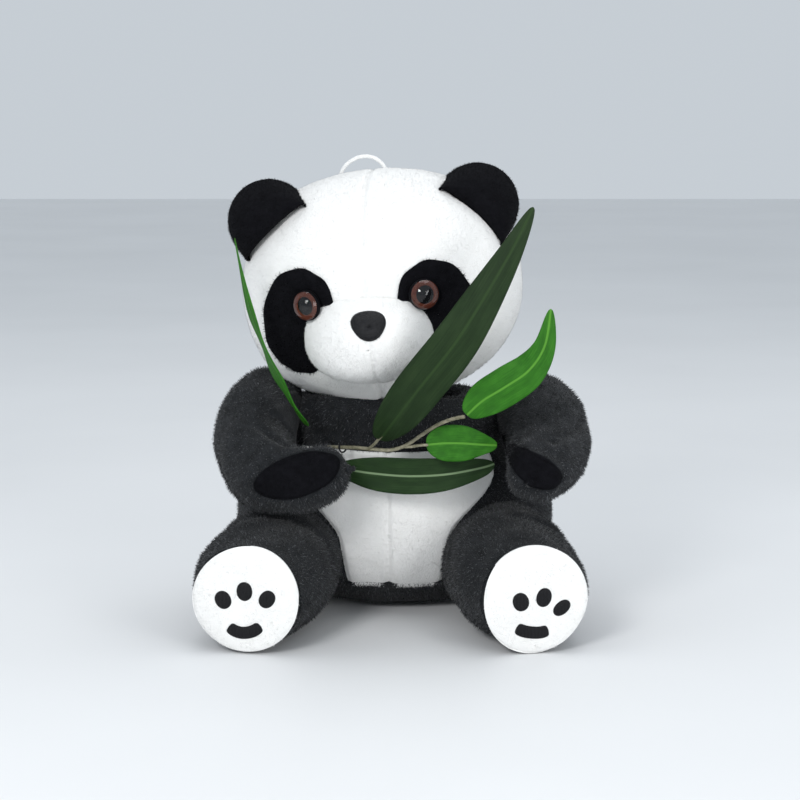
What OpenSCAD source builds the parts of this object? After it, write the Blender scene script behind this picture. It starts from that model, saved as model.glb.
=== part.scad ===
// Seated plush panda holding a spray of artificial bamboo. Millimetres, Z up, the toy faces -Y.
// Left and right are as seen from in front of the toy.

/* [Head] */
// Width across the cheeks
head_w = 156; // [150:1:160]
// Depth without the muzzle
head_d = 128; // [124:1:130]
// Height
head_h = 128; // [124:1:130]
// How far the muzzle stands out of the face
muzzle_out = 19; // [15:1:20]
// Diameter of the plastic eyes
eye_d = 16; // [14:1:18]
// Radius of the rounded ears
ear_r = 22.7; // [20:0.1:24]

/* [Torso] */
// Factor on the width and depth of the torso
torso_scale = 1; // [0.97:0.01:1]
// Height at which the white belly meets the black chest
belly_top = 98; // [94:1:102]
// Half angle that the white belly covers at its top, seen from above
belly_half_angle = 62; // [55:1:66]

/* [Limbs] */
// Diameter of the round soles
sole_d = 57; // [52:1:60]
// Radius of the ball at the root of each arm
arm_root_r = 23; // [20:1:24]
// Radius of the ball at the root of each leg
leg_root_r = 33; // [30:1:33]

/* [Cloth and trim] */
// Thickness of the plush cloth with its pile
cloth = 2.4; // [2:0.1:3]
// Thickness of a bamboo leaf
leaf_t = 0.8; // [0.6:0.1:1]
// Thickness of the bamboo stem
stem_d = 2; // [1.6:0.1:2.4]
// Thickness of the hanging loop
loop_d = 2.2; // [1.8:0.1:2.4]

/* [Hidden] */
gap = 0.5;
slack = 1.8;
white = "whitesmoke";
black = "#303234";
jet = "#141416";

// The head's place and its slight lean and turn at rest
head_centre = [-6.5, 2, 186];
head_lean = -4.5;
head_turn = -6;
head_power = 2.2;
crown_el = 86;
neck_el = -58;

// The neck turns about this point, and its cloth disc lies between two spheres round it
neck_pivot = [-5, 2, 170];
neck_r = [55, 60.5];
neck_half_angle = 27;

// Rows of the torso from the seat up: height, centre, half width, half depth
torso_rows = [
    [0, [0, 47], 42, 30], [3, [0, 45], 54, 40], [9, [0, 42], 66, 48], [20, [0, 38], 79, 56],
    [35, [0, 33], 88, 61], [50, [0, 30], 91, 64], [65, [0, 27], 89, 64], [80, [0, 24], 79, 61],
    [95, [-1, 21], 65, 55], [106, [-3, 16], 60, 50], [114, [-4, 10], 56, 46], [120, [-5, 6], 51, 42],
    [124, [-5, 4], 44, 38]
];
torso_middle = [0, 25, 55];

// Room left in the torso round the root of each limb
root_gap = 6;

// Balls at the roots of the limbs, left then right
shoulder = [[-72, 4, 116], [78, 4, 114]];
hip = [[-60, -14, 34], [57, -14, 34]];

// Stations of each limb beyond its root: centre, half width, half height
arm_rows = [
    [[[-76, -14, 109], 23.5, 24], [[-76, -34, 96], 23, 24], [[-66, -54, 88], 22, 22],
     [[-50, -64, 88], 19, 20], [[-38, -68, 91], 16, 17]],
    [[[83, -14, 109], 24, 25], [[84, -34, 101], 24, 25], [[81, -54, 94], 22, 23],
     [[77, -68, 91], 19, 20], [[75, -75, 90], 16, 17]]
];
leg_rows = [
    [[[-65, -36, 34], 35.5, 34], [[-69.5, -56, 32.5], 37, 32.5], [[-74, -76, 30.5], 34, 30.5],
     [[-76.5, -88, 29.5], 30.5, 29.5]],
    [[[62, -36, 34], 35.5, 34], [[65.5, -56, 32.5], 36.5, 32.5], [[70, -76, 30.5], 33, 30.5],
     [[72.5, -88, 29.5], 30, 29.5]]
];

// Middle lines of the leaves, from the stem to the tip
leaf_a_line = [[-8, -60, 108], [0, -76, 121], [13, -88, 140], [31, -95, 164], [46, -96, 188], [60, -94, 212],
    [71, -92, 234]];
leaf_b_line = [[38, -76, 124], [46, -79, 132], [58, -82, 140], [70, -84, 149], [78, -85, 162],
    [81, -85, 181]];
leaf_c_line = [[17, -63, 106], [26, -64, 107], [36, -64, 107], [46, -62, 106], [55, -58, 105]];
leaf_d_line = [[-30, -44, 90], [-12, -49, 88], [8, -52, 87], [28, -52, 88], [46, -50, 91], [54, -48, 93]];
leaf_e_line = [[-47, -45, 113], [-57, -54, 130], [-67, -61, 152], [-76, -64, 178], [-84, -63, 216]];

// Route of the main stem, from behind the left paw, and of the hanging loop
stem_route = [[-36, -35, 100], [-28, -42, 101], [-20, -49, 102], [-11, -54, 102], [-2, -56, 102],
    [6, -59, 105],
    [14, -63, 111], [22, -67, 117], [30, -71, 121], [37, -74, 123]];
loop_route = [[-30, 7, 245], [-29, 6, 248], [-26, 6, 252], [-21, 6, 255], [-16, 6, 256], [-11, 6, 255],
    [-7, 6, 252],
    [-5, 6, 249], [-4, 7, 246]];

function unit(v) = v / norm(v);
function span(a, b, n) = [for (i = [0:n]) a + (b - a) * i / n];
function joined(lists) = [for (l = lists) each l];
function mean(points) = [for (p = points) 1] * points / len(points);
function toward(az, el) = [cos(el) * sin(az), -cos(el) * cos(az), sin(el)];
function turned(v, a) = [v.x * cos(a) - v.y * sin(a), v.x * sin(a) + v.y * cos(a), v.z];
function leaned(v, a) = [v.x * cos(a) + v.z * sin(a), v.y, v.z * cos(a) - v.x * sin(a)];
function index(side) = side < 0 ? 0 : 1;

// Value of a table whose rows start with the height, between its rows
function row_at(rows, z, k, i = 0) = z <= rows[0][0] ? rows[0][k] : i >= len(rows) - 1 ? rows[i][k] :
    z <= rows[i + 1][0] ? rows[i][k] + (rows[i + 1][k] - rows[i][k]) * (z - rows[i][0]) /
        (rows[i + 1][0] - rows[i][0]) : row_at(rows, z, k, i + 1);

// Distance along a ray at which it enters a ball, or the given distance where that is shorter
function before_ball(from, dir, far, centre, r) =
    let (m = centre - from, b = m * dir, h = b * b - m * m + r * r)
    h <= 0 || b <= 0 ? far : min(far, max(10, b - sqrt(h)));

// Closed solid between two grids of points; wrap joins the last column to the first
module shell(outer, inner, wrap = false) {
    rows = len(outer);
    cols = len(outer[0]);
    n = rows * cols;
    last = wrap ? cols - 1 : cols - 2;
    at = function (i, j, k = 0) k * n + i * cols + j % cols;
    quads = concat(
        [for (i = [0:rows - 2], j = [0:last]) [at(i, j), at(i + 1, j), at(i + 1, j + 1), at(i, j + 1)]],
        [for (i = [0:rows - 2], j = [0:last])
            [at(i, j + 1, 1), at(i + 1, j + 1, 1), at(i + 1, j, 1), at(i, j, 1)]],
        [for (j = [0:last]) [at(0, j), at(0, j + 1), at(0, j + 1, 1), at(0, j, 1)]],
        [for (j = [0:last]) [at(rows - 1, j + 1), at(rows - 1, j), at(rows - 1, j, 1),
            at(rows - 1, j + 1, 1)]],
        wrap ? [] : [for (i = [0:rows - 2]) [at(i + 1, 0), at(i, 0), at(i, 0, 1), at(i + 1, 0, 1)]],
        wrap ? [] : [for (i = [0:rows - 2])
            [at(i, cols - 1), at(i + 1, cols - 1), at(i + 1, cols - 1, 1), at(i, cols - 1, 1)]]);
    faces = [for (q = quads) each [[q[0], q[1], q[2]], [q[0], q[2], q[3]]]];
    polyhedron(concat(joined(outer), joined(inner)), faces, convexity = 8);
}

// Closed solid whose rows are rings, with a point in the middle of each end
module body_of(rings, ends = []) {
    rows = len(rings);
    cols = len(rings[0]);
    n = rows * cols;
    tips = len(ends) == 2 ? ends : [mean(rings[0]), mean(rings[rows - 1])];
    faces = concat(
        [for (i = [0:rows - 2], j = [0:cols - 1]) let (a = i * cols + j, b = i * cols + (j + 1) % cols)
            each [[a, a + cols, b + cols], [a, b + cols, b]]],
        [for (j = [0:cols - 1]) [n, j, (j + 1) % cols]],
        [for (j = [0:cols - 1]) [n + 1, n - cols + (j + 1) % cols, n - cols + j]]);
    polyhedron(concat(joined(rings), tips), faces, convexity = 8);
}

// ---- Head ----
function head_r(az, el) = let (d = toward(az, el))
    pow(pow(abs(d.x) / (head_w / 2), head_power) + pow(abs(d.y) / (head_d / 2), head_power) +
        pow(abs(d.z) / (head_h / 2), head_power), -1 / head_power);
function head_place(v) = head_centre + turned(leaned(v, head_lean), head_turn);
function head_point(az, el, out = 0) = head_place(toward(az, el) * (head_r(az, el) + out));
function head_grid(az0, az1, el0, el1, out, n = 7, m = 9) =
    [for (el = span(el0, el1, m)) [for (az = span(az0, az1, n)) head_point(az, el, out)]];

module head_panel(az0, az1) {
    color(white)
        shell(head_grid(az0, az1, neck_el, crown_el, 0), head_grid(az0, az1, neck_el, crown_el, -cloth));
}

module head_stuffing() {
    rings = [for (el = span(-84, 84, 12)) [for (j = [0:19]) head_point(j * 18, el, -cloth - slack)]];
    color("ivory") body_of(rings);
}

// A patch of the face: a ring or a disc of points round a middle direction, at a height off the head
function face_point(mid, size, slant, a, k, out) =
    let (u = size.x * k * cos(a), v = size.y * k * sin(a))
    head_point(mid.x + u * cos(slant) - v * sin(slant), mid.y + u * sin(slant) + v * cos(slant), out);

muzzle_mid = [-2, -22];
muzzle_size = [32, 21.3];
function muzzle_rise(k) = muzzle_out * sqrt(max(0, 1 - k * k));
function muzzle_rings(out, rise) = [for (k = [0.98, 0.9, 0.75, 0.55, 0.3, 0.08])
    [for (j = [0:19]) face_point(muzzle_mid, muzzle_size, 0, j * 18, k, out + rise * muzzle_rise(k))]];

module muzzle_padding() {
    color("ivory") shell(muzzle_rings(gap + 0.6, 0.85), muzzle_rings(cloth + 0.3, 0), wrap = true);
}

module muzzle_cover() {
    color(white) shell(muzzle_rings(cloth + 1, 1), muzzle_rings(1.4, 0.9), wrap = true);
}

// Nose, a rounded triangle of satin cloth on the front of the muzzle
nose_mid = [2.5, -11.5];
function nose_ring(k, out) = [for (j = [0:17]) let (a = j * 20, r = 9.2 * (1 + 0.14 * cos(3 * a + 90)))
    face_point(nose_mid, [r * 0.9, r * 0.62], 0, a, k, out)];
module nose() {
    out = muzzle_out + cloth;
    color(jet) shell([nose_ring(1, out), nose_ring(0.75, out + 2.2), nose_ring(0.1, out + 3.4)],
        [nose_ring(1, out - 1.2), nose_ring(0.75, out - 1.2), nose_ring(0.1, out - 1.2)], wrap = true);
}

eye_mid = [[-29, -3], [24.6, -1.5]];
patch_mid = [[-33, -9], [29, -8]];
patch_size = [15, 26];
module eye_patch(side) {
    ring = function (k, out) [for (j = [0:19])
        face_point(patch_mid[index(side)], patch_size, -side * 14, j * 18, k, out)];
    outer = [for (k = [1, 0.7, 0.4, 0.15]) ring(k, cloth)];
    inner = [for (k = [1, 0.7, 0.4, 0.15]) ring(k, gap)];
    color(jet) shell(outer, inner, wrap = true);
}

// Everything of an eye is turned about the line that points out of the face
module on_eye(side, out) {
    mid = eye_mid[index(side)];
    p = head_point(mid.x, mid.y, out);
    q = head_point(mid.x, mid.y, out + 10);
    d = unit(q - p);
    translate(p) rotate([0, acos(d.z), atan2(d.y, d.x)]) children();
}

module eye_base(side) {
    color(jet) on_eye(side, cloth) {
        cylinder(h = 1.2, d = eye_d, $fn = 48);
        translate([0, 0, -13]) cylinder(h = 13.2, d = 4.6, $fn = 32);
    }
}

module eye_iris(side) {
    color("sienna") on_eye(side, cloth + 1.25) difference() {
        cylinder(h = 0.5, d = eye_d - 1, $fn = 48);
        translate([0, 0, -1]) cylinder(h = 2, d = eye_d * 0.55, $fn = 48);
    }
}

module eye_dome(side) {
    rise = eye_d * 0.3;
    ball = (pow(eye_d / 2, 2) + rise * rise) / (2 * rise);
    color("whitesmoke", 0.3) on_eye(side, cloth + 1.8) intersection() {
        translate([0, 0, rise - ball]) sphere(r = ball, $fn = 64);
        cylinder(h = eye_d, d = eye_d + 1, $fn = 48);
    }
}

module eye_washer(side) {
    color("ivory") on_eye(side, -9) difference() {
        cylinder(h = 1.5, d = 13, $fn = 48);
        translate([0, 0, -1]) cylinder(h = 4, d = 4.6, $fn = 32);
    }
}

// Closed tube that follows a route
module tube(route, d, sides = 8) {
    n = len(route);
    rings = [for (i = [0:n - 1])
        let (t = unit(route[min(i + 1, n - 1)] - route[max(i - 1, 0)]), s = unit(cross(t, [0.2, 1, 0.1])),
            u = cross(s, t))
        [for (j = [0:sides - 1]) route[i] + d / 2 * (cos(360 * j / sides) * s + sin(360 * j / sides) * u)]];
    body_of(rings);
}

module hanging_loop() {
    color("white") tube(loop_route, loop_d);
}

// ---- Ears: two cloths over a thin batting, hinged at their straight root ----
ear_middle = [[-69, 4, 221], [45.5, 4, 230]];
ear_tilt = [-44, 42];
ear_cut = [6.5, 9.5];
module ear_layer(side, from, t, r) {
    i = index(side);
    translate(ear_middle[i]) rotate([0, ear_tilt[i], 0]) translate([0, from, 0]) rotate([-90, 0, 0])
        linear_extrude(t) difference() {
            circle(r = r, $fn = 64);
            translate([-r - 1, -ear_cut[i]]) square([2 * r + 2, 2 * r + ear_cut[i]]);
        }
}

module ear_front(side) { color(jet) ear_layer(side, -cloth - 1.2, cloth, ear_r); }
module ear_batting(side) { color("ivory") ear_layer(side, -1.1, 2.2, ear_r - 2); }
module ear_back(side) { color(jet) ear_layer(side, 1.2, cloth, ear_r); }

// ---- Neck ----
module neck_stuffing() {
    arc = function (r) [for (a = span(0, neck_half_angle, 8)) [r * sin(a), -r * cos(a)]];
    inner = arc(neck_r[0]);
    outer = arc(neck_r[1]);
    color("ivory") translate(neck_pivot) rotate_extrude($fn = 64)
        polygon(concat(inner, [for (i = [8:-1:0]) outer[i]]));
}

module neck_stitching() {
    a = neck_half_angle + 1.4;
    r = mean([[neck_r[0]], [neck_r[1]]])[0];
    color("dimgray") translate(neck_pivot) rotate_extrude($fn = 64)
        translate([r * sin(a), -r * cos(a)]) circle(r = 0.8, $fn = 16);
}

// ---- Torso ----
// The torso is hollowed round the root of each limb, and its stuffing a little more than its cloth
function socketed(c, d, far, spare) =
    let (arm = arm_root_r + root_gap + spare, leg = leg_root_r + root_gap + spare)
    before_ball(c, d, before_ball(c, d, before_ball(c, d, before_ball(c, d, far,
        shoulder[0], arm), shoulder[1], arm), hip[0], leg), hip[1], leg);
function torso_point(az, z, inset = 0, spare = 0) =
    let (m = row_at(torso_rows, z, 1), a = torso_scale * row_at(torso_rows, z, 2),
        b = torso_scale * row_at(torso_rows, z, 3), d = toward(az, 0), c = [m.x, m.y, z],
        r = 1 / sqrt(pow(d.x / a, 2) + pow(d.y / b, 2)), p = c + d * socketed(c, d, r, spare))
    p + inset * unit(torso_middle - p);
function torso_grid(from, to, heights, inset, n) =
    [for (z = heights) [for (az = span(from(z), to(z), n)) torso_point(az, z, inset)]];
neck_z = 124;
base_z = 18;
low_heights = span(base_z, belly_top, 9);
high_heights = span(belly_top, neck_z, 4);
function some(list, from, to) = [for (i = [from:to]) list[i]];

// The belly narrows downwards, between the thighs
function belly_edge(z) = let (t = min(1, max(0, (z - 45) / (belly_top - 45))))
    28 + (belly_half_angle - 28) * t * t * (3 - 2 * t);
left_edge = function (z) -belly_edge(z);
right_edge = function (z) belly_edge(z);
front = function (z) 0;

// Azimuths right round the torso, with as many steps as its panels have
function around(z) = [for (part = [[-180, -belly_edge(z), 12], [-belly_edge(z), 0, 6], [0, belly_edge(z), 6],
    [belly_edge(z), 180, 12]]) each some(span(part[0], part[1], part[2]), 0, part[2] - 1)];

module torso_panel(from, to, heights, n) {
    shell(torso_grid(from, to, heights, 0, n), torso_grid(from, to, heights, cloth, n));
}

module torso_back(side) {
    heights = concat(low_heights, some(high_heights, 1, 4));
    color(black) torso_panel(side < 0 ? function (z) -180 : right_edge,
        side < 0 ? left_edge : function (z) 180,
        heights, 12);
}

module belly(side) {
    color(white) torso_panel(side < 0 ? left_edge : front, side < 0 ? front : right_edge, low_heights, 6);
}

module chest_panel() {
    color(black) torso_panel(left_edge, right_edge, high_heights, 12);
}

// Flat under the toy, with a small gap in the middle where the stuffing went in
module base_panel() {
    foot = mean([for (az = around(0)) torso_point(az, 0)]);
    ring = function (z, k, up) [for (az = around(z)) let (p = torso_point(az, z))
        [foot.x + (p.x - foot.x) * k, foot.y + (p.y - foot.y) * k, z + up]];
    outer = [ring(0, 0.06, 0), ring(0, 0.5, 0), ring(0, 1, 0), ring(3, 1, 0), ring(9, 1, 0),
        ring(base_z, 1, 0)];
    inner = [ring(0, 0.06, cloth), ring(0, 0.5, cloth), ring(0, 0.97, cloth), ring(3, 0.95, cloth * 0.8),
        ring(9, 0.955, cloth * 0.4), ring(base_z, 0.96, 0)];
    color(black) shell(outer, inner, wrap = true);
}

// The stuffing ends in a dish under the neck
module torso_stuffing() {
    inset = cloth + 2 * slack;
    heights = concat([3, 9], low_heights, some(high_heights, 1, 3));
    sides = [for (z = heights) [for (az = around(z)) torso_point(az, z, inset, cloth + slack)]];
    dish = [for (far = [30, 24, 16, 8]) [for (az = around(neck_z))
        let (d = far * toward(az, 0), r = neck_r[1] + 1)
        [neck_pivot.x + d.x, neck_pivot.y + d.y, neck_pivot.z - sqrt(r * r - d * d)]]];
    color("ivory") body_of(concat(sides, dish));
}

module tail() {
    color(white) translate([0, 91, 29]) sphere(r = 10, $fn = 48);
}

// ---- Limbs ----
// Rings of a limb: a ball at its root, then its stations, then a round or a flat end
function ring_at(c, t, rx, rz, n, inset) =
    let (s = unit(cross(t, [0, 0, 1])), u = cross(s, t))
    [for (j = [0:n - 1]) c + (rx - inset) * cos(360 * j / n) * s + (rz - inset) * sin(360 * j / n) * u];
function limb_rings(root, r, rows, tip, inset, n = 16) =
    let (count = len(rows), first = unit(rows[0][0] - root),
        last = unit(rows[count - 1][0] - rows[count - 2][0]))
    concat(
        [for (a = [-78, -50, -22, 0]) ring_at(root + first * (r - inset) * sin(a), first,
            (r - inset) * cos(a), (r - inset) * cos(a), n, 0)],
        [for (i = [0:count - 1]) let (before = i == 0 ? root : rows[i - 1][0],
            t = unit(rows[min(i + 1, count - 1)][0] - before))
            ring_at(rows[i][0], t, rows[i][1], rows[i][2], n, inset)],
        [for (a = [30, 60, 82]) ring_at(rows[count - 1][0] + last * (tip * sin(a) - inset * sin(a)), last,
            (rows[count - 1][1] - inset) * (tip > 9 ? cos(a) : 1 - 0.12 * sin(a)),
            (rows[count - 1][2] - inset) * (tip > 9 ? cos(a) : 1 - 0.12 * sin(a)), n, 0)]);
function arm_rings(side, inset) = limb_rings(shoulder[index(side)], arm_root_r, arm_rows[index(side)],
    16, inset);
function leg_rings(side, inset) = limb_rings(hip[index(side)], leg_root_r, leg_rows[index(side)], 5, inset);

module arm_cover(side) {
    color(black) shell(arm_rings(side, 0), arm_rings(side, cloth), wrap = true);
}

module arm_stuffing(side) {
    color("ivory") body_of(arm_rings(side, cloth + gap));
}

// Oval pads in the palms, each facing the way the paw does
palm_place = [[-52, -86.5, 91], [75.5, -92.5, 94]];
palm_turn = [[0, -18, -14], [0, 22, 2]];
palm_size = [[25, 11], [13, 8]];
module palm_pad(side) {
    size = palm_size[index(side)];
    color(jet) translate(palm_place[index(side)]) rotate(palm_turn[index(side)]) rotate([90, 0, 0])
        hull() for (e = [-1, 1]) translate([e * (size.x - size.y), 0, 0])
            cylinder(h = 2.2, r = size.y, center = true, $fn = 32);
}

module leg_cover(side) {
    color(black) shell(leg_rings(side, 0), leg_rings(side, cloth), wrap = true);
}

module leg_stuffing(side) {
    color("ivory") body_of(leg_rings(side, cloth + gap));
}

// Things on a sole lie in its plane: x across, y up, z out of the sole
module on_sole(side, out) {
    rows = leg_rows[index(side)];
    c = rows[len(rows) - 1][0];
    d = unit(c - rows[len(rows) - 2][0]);
    flat = unit([d.x, d.y, 0]);
    translate(c + flat * (5 + out)) rotate([90, 0, atan2(flat.x, -flat.y)]) children();
}

module sole(side) {
    color(white) on_sole(side, gap + 1.5) cylinder(h = 1.8, d = sole_d, $fn = 64);
}

module paw_print(side) {
    color(jet) on_sole(side, gap + 3.35) {
        for (x = [-11, 0, 11])
            translate([x, x == 0 ? 6 : 1, 0]) cylinder(h = 0.8, r = 4.4, $fn = 32);
        translate([0, -5, 0]) rotate([0, 0, -125]) rotate_extrude(angle = 70, $fn = 64)
            translate([9, 0]) square([6.5, 0.8]);
    }
}

// ---- Bamboo ----
// A leaf follows its middle line, is widest a third of the way along, and folds a little at its rib
function leaf_half(k, w) = w / 2 * (0.08 + 0.92 * pow(sin(180 * pow(k, 0.7)), 0.8));
module leaf(line, w, across, fold = 0.12) {
    n = len(line);
    strip = function (lift) [for (i = [0:n - 1])
        let (t = unit(line[min(i + 1, n - 1)] - line[max(i - 1, 0)]), out = unit(cross(t, across)),
            s = unit(cross(out, t)), h = leaf_half(i / (n - 1), w))
        [for (e = [-1, 0, 1]) line[i] + e * h * s + (lift + abs(e) * h * fold) * out]];
    shell(strip(leaf_t), strip(0));
}

module bamboo_stem() { color("olivedrab") tube(stem_route, stem_d); }
module leaf_a() { color("darkolivegreen") leaf(leaf_a_line, 25, [1, 0, -0.5]); }
module leaf_b() { color("forestgreen") leaf(leaf_b_line, 21, [1, 0, -1]); }
module leaf_c() { color("forestgreen") leaf(leaf_c_line, 20, [0, 0, -1]); }
module leaf_d() { color("darkolivegreen") leaf(leaf_d_line, 20, [0, 0, -1]); }
module leaf_e() { color("forestgreen") leaf(leaf_e_line, 14, [0.35, -1, 0]); }

// Two loops of thread that hold the stem to the chest behind the left paw
module stem_stitches() {
    color("black") for (i = [0, 1])
        translate(stem_route[i] + [0, 2, 0]) rotate([0, 90, -41])
            rotate_extrude($fn = 32) translate([4, 0]) circle(r = 0.5, $fn = 16);
}

head_stuffing();
head_panel(-96, 0);  // head_front_left
head_panel(0, 96);  // head_front_right
head_panel(180, 264);  // head_back_left
head_panel(96, 180);  // head_back_right
muzzle_padding();
muzzle_cover();
nose();
hanging_loop();
eye_patch(-1);  // eye_patch_left
eye_patch(1);  // eye_patch_right
eye_base(-1);  // eye_base_left
eye_base(1);  // eye_base_right
eye_iris(-1);  // eye_iris_left
eye_iris(1);  // eye_iris_right
eye_dome(-1);  // eye_dome_left
eye_dome(1);  // eye_dome_right
eye_washer(-1);  // eye_washer_left
eye_washer(1);  // eye_washer_right
ear_front(-1);  // ear_front_left
ear_front(1);  // ear_front_right
ear_batting(-1);  // ear_batting_left
ear_batting(1);  // ear_batting_right
ear_back(-1);  // ear_back_left
ear_back(1);  // ear_back_right
neck_stuffing();
neck_stitching();
torso_stuffing();
torso_back(-1);  // torso_back_left
torso_back(1);  // torso_back_right
chest_panel();
belly(-1);  // belly_left
belly(1);  // belly_right
base_panel();
tail();
arm_cover(-1);  // arm_cover_left
arm_cover(1);  // arm_cover_right
arm_stuffing(-1);  // arm_stuffing_left
arm_stuffing(1);  // arm_stuffing_right
palm_pad(-1);  // palm_pad_left
palm_pad(1);  // palm_pad_right
leg_cover(-1);  // leg_cover_left
leg_cover(1);  // leg_cover_right
leg_stuffing(-1);  // leg_stuffing_left
leg_stuffing(1);  // leg_stuffing_right
sole(-1);  // sole_left
sole(1);  // sole_right
paw_print(-1);  // paw_print_left
paw_print(1);  // paw_print_right
bamboo_stem();
leaf_a();
leaf_b();
leaf_c();
leaf_d();
leaf_e();
stem_stitches();
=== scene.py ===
"""Seated plush panda holding a spray of artificial bamboo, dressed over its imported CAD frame.

Shapes are worked out in millimetres in the row frame and become metres when a mesh is made.
Left and right are as seen from in front of the toy; side -1 is the left, at low X."""

import math

import bmesh
import bpy
import numpy as np
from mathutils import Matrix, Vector
from mathutils.bvhtree import BVHTree


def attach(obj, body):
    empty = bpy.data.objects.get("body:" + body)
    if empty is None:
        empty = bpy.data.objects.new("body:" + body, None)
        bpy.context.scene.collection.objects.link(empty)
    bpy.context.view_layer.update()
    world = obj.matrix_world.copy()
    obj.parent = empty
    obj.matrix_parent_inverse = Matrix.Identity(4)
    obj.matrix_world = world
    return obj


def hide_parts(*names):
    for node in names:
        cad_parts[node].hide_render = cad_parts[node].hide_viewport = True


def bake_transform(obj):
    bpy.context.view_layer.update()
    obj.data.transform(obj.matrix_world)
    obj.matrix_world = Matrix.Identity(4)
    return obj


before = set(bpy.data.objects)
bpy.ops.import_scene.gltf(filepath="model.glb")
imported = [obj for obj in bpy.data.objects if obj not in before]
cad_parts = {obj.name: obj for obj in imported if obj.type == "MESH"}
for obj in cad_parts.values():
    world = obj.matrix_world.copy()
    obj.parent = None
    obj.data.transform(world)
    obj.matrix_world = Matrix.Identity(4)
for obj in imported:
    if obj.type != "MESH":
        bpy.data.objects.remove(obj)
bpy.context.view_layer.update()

MM = 0.001
UP = np.array([0.0, 0.0, 1.0])
SIDES = ((-1, "left"), (1, "right"))

# ---- Driving sizes ----
# As in the CAD source, except the torso's rows from 106 up and the right arm's last three stations. NECK_Z, the
# muzzle, the nose and the ears, further down, also differ from it.
CLOTH = 2.4
HEAD_CENTRE = np.array([-6.5, 2, 186])
HEAD_HALF = np.array([78, 64, 64])
HEAD_POWER = 2.2
HEAD_LEAN, HEAD_TURN = -4.5, -6
NECK_PIVOT = np.array([-5, 2, 170])
NECK_R = 60.5
TORSO_ROWS = np.array([
    [0, 0, 47, 42, 30], [3, 0, 45, 54, 40], [9, 0, 42, 66, 48], [20, 0, 38, 79, 56],
    [35, 0, 33, 88, 61], [50, 0, 30, 91, 64], [65, 0, 27, 89, 64], [80, 0, 24, 79, 61],
    [95, -1, 21, 65, 55], [106, 0, 16, 62, 50], [114, 0, 10, 60, 46], [120, -1, 6, 57, 42],
    [126, -2, 4, 50, 37]])
SHOULDER = {-1: (-72, 4, 116), 1: (78, 4, 114)}
HIP = {-1: (-60, -14, 34), 1: (57, -14, 34)}
ARM_ROOT_R, LEG_ROOT_R = 23, 33
ARM_ROWS = {
    -1: [(-76, -14, 109, 23.5, 24), (-76, -34, 96, 23, 24), (-66, -54, 88, 22, 22),
         (-50, -64, 88, 19, 20), (-38, -68, 91, 16, 17)],
    1: [(83, -14, 109, 24, 25), (84, -34, 101, 24, 25), (81, -54, 96, 22, 21.5),
        (77, -68, 93, 19, 18.5), (75, -75, 92, 16, 16)]}
LEG_ROWS = {
    -1: [(-65, -36, 34, 35.5, 34), (-69.5, -56, 32.5, 37, 32.5), (-74, -76, 30.5, 34, 30.5),
         (-76.5, -88, 29.5, 30.5, 29.5)],
    1: [(62, -36, 34, 35.5, 34), (65.5, -56, 32.5, 36.5, 32.5), (70, -76, 30.5, 33, 30.5),
        (72.5, -88, 29.5, 30, 29.5)]}
SOLE_D = 57
EYE_D = 16
LEAVES = {
    "a": ([(-8, -60, 108), (0, -76, 121), (13, -88, 140), (31, -95, 164), (46, -96, 188), (60, -94, 212),
           (71, -92, 234)], 25, (1, 0, -0.5)),
    "b": ([(38, -76, 124), (46, -79, 132), (58, -82, 140), (70, -84, 149), (78, -85, 162), (81, -85, 181)],
          21, (1, 0, -1)),
    "c": ([(17, -63, 106), (26, -64, 107), (36, -64, 107), (46, -62, 106), (55, -58, 105)], 20, (0, 0, -1)),
    "d": ([(-30, -44, 90), (-12, -49, 88), (8, -52, 87), (28, -52, 88), (46, -50, 91), (54, -48, 93)],
          20, (0, 0, -1)),
    "e": ([(-47, -45, 113), (-57, -54, 130), (-67, -61, 152), (-76, -64, 178), (-84, -63, 216)],
          14, (0.35, -1, 0))}
STEM_ROUTE = [(-36, -35, 100), (-28, -42, 101), (-20, -49, 102), (-11, -54, 102), (-2, -56, 102),
              (6, -59, 105), (14, -63, 111), (22, -67, 117), (30, -71, 121), (37, -74, 123)]
LOOP_ROUTE = [(-30, 7, 245), (-29, 6, 248), (-26, 6, 252), (-21, 6, 255), (-16, 6, 256), (-11, 6, 255),
              (-7, 6, 252), (-5, 6, 249), (-4, 7, 246)]
LOOP_D = 2.2


# ---- Small maths ----
def unit(v):
    v = np.asarray(v, float)
    return v / np.maximum(np.linalg.norm(v, axis=-1, keepdims=True), 1e-9)


def sin_deg(a):
    return np.sin(np.radians(a))


def cos_deg(a):
    return np.cos(np.radians(a))


def step(a, b, x):
    """Rises smoothly from 0 at a to 1 at b."""
    t = np.clip((x - a) / (b - a), 0, 1)
    return t * t * (3 - 2 * t)


def bell(x, width):
    return np.exp(-((x / width) ** 2))


def through(table, count):
    """Rows of a smooth curve through the rows of a table, count of them."""
    table = np.asarray(table, float)
    last = len(table) - 1
    at = np.linspace(0, last, count)
    i = np.minimum(at.astype(int), last - 1)
    t = (at - i)[:, None]
    rows = [table[np.clip(i + k, 0, last)] for k in (-1, 0, 1, 2)]
    return 0.5 * (2 * rows[1] + (rows[2] - rows[0]) * t
                  + (2 * rows[0] - 5 * rows[1] + 4 * rows[2] - rows[3]) * t ** 2
                  + (3 * rows[1] - rows[0] - 3 * rows[2] + rows[3]) * t ** 3)


def lumps(p, size, seed):
    """Soft noise between about -1 and 1 whose lumps are roughly size apart."""
    rng = np.random.default_rng(seed)
    total = np.zeros(p.shape[:-1])
    for _ in range(9):
        wave = unit(rng.normal(size=3)) * math.pi * rng.uniform(0.7, 1.4) / size
        total += np.sin(p @ wave + rng.uniform(0, 2 * math.pi))
    return total / 3.5


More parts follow.
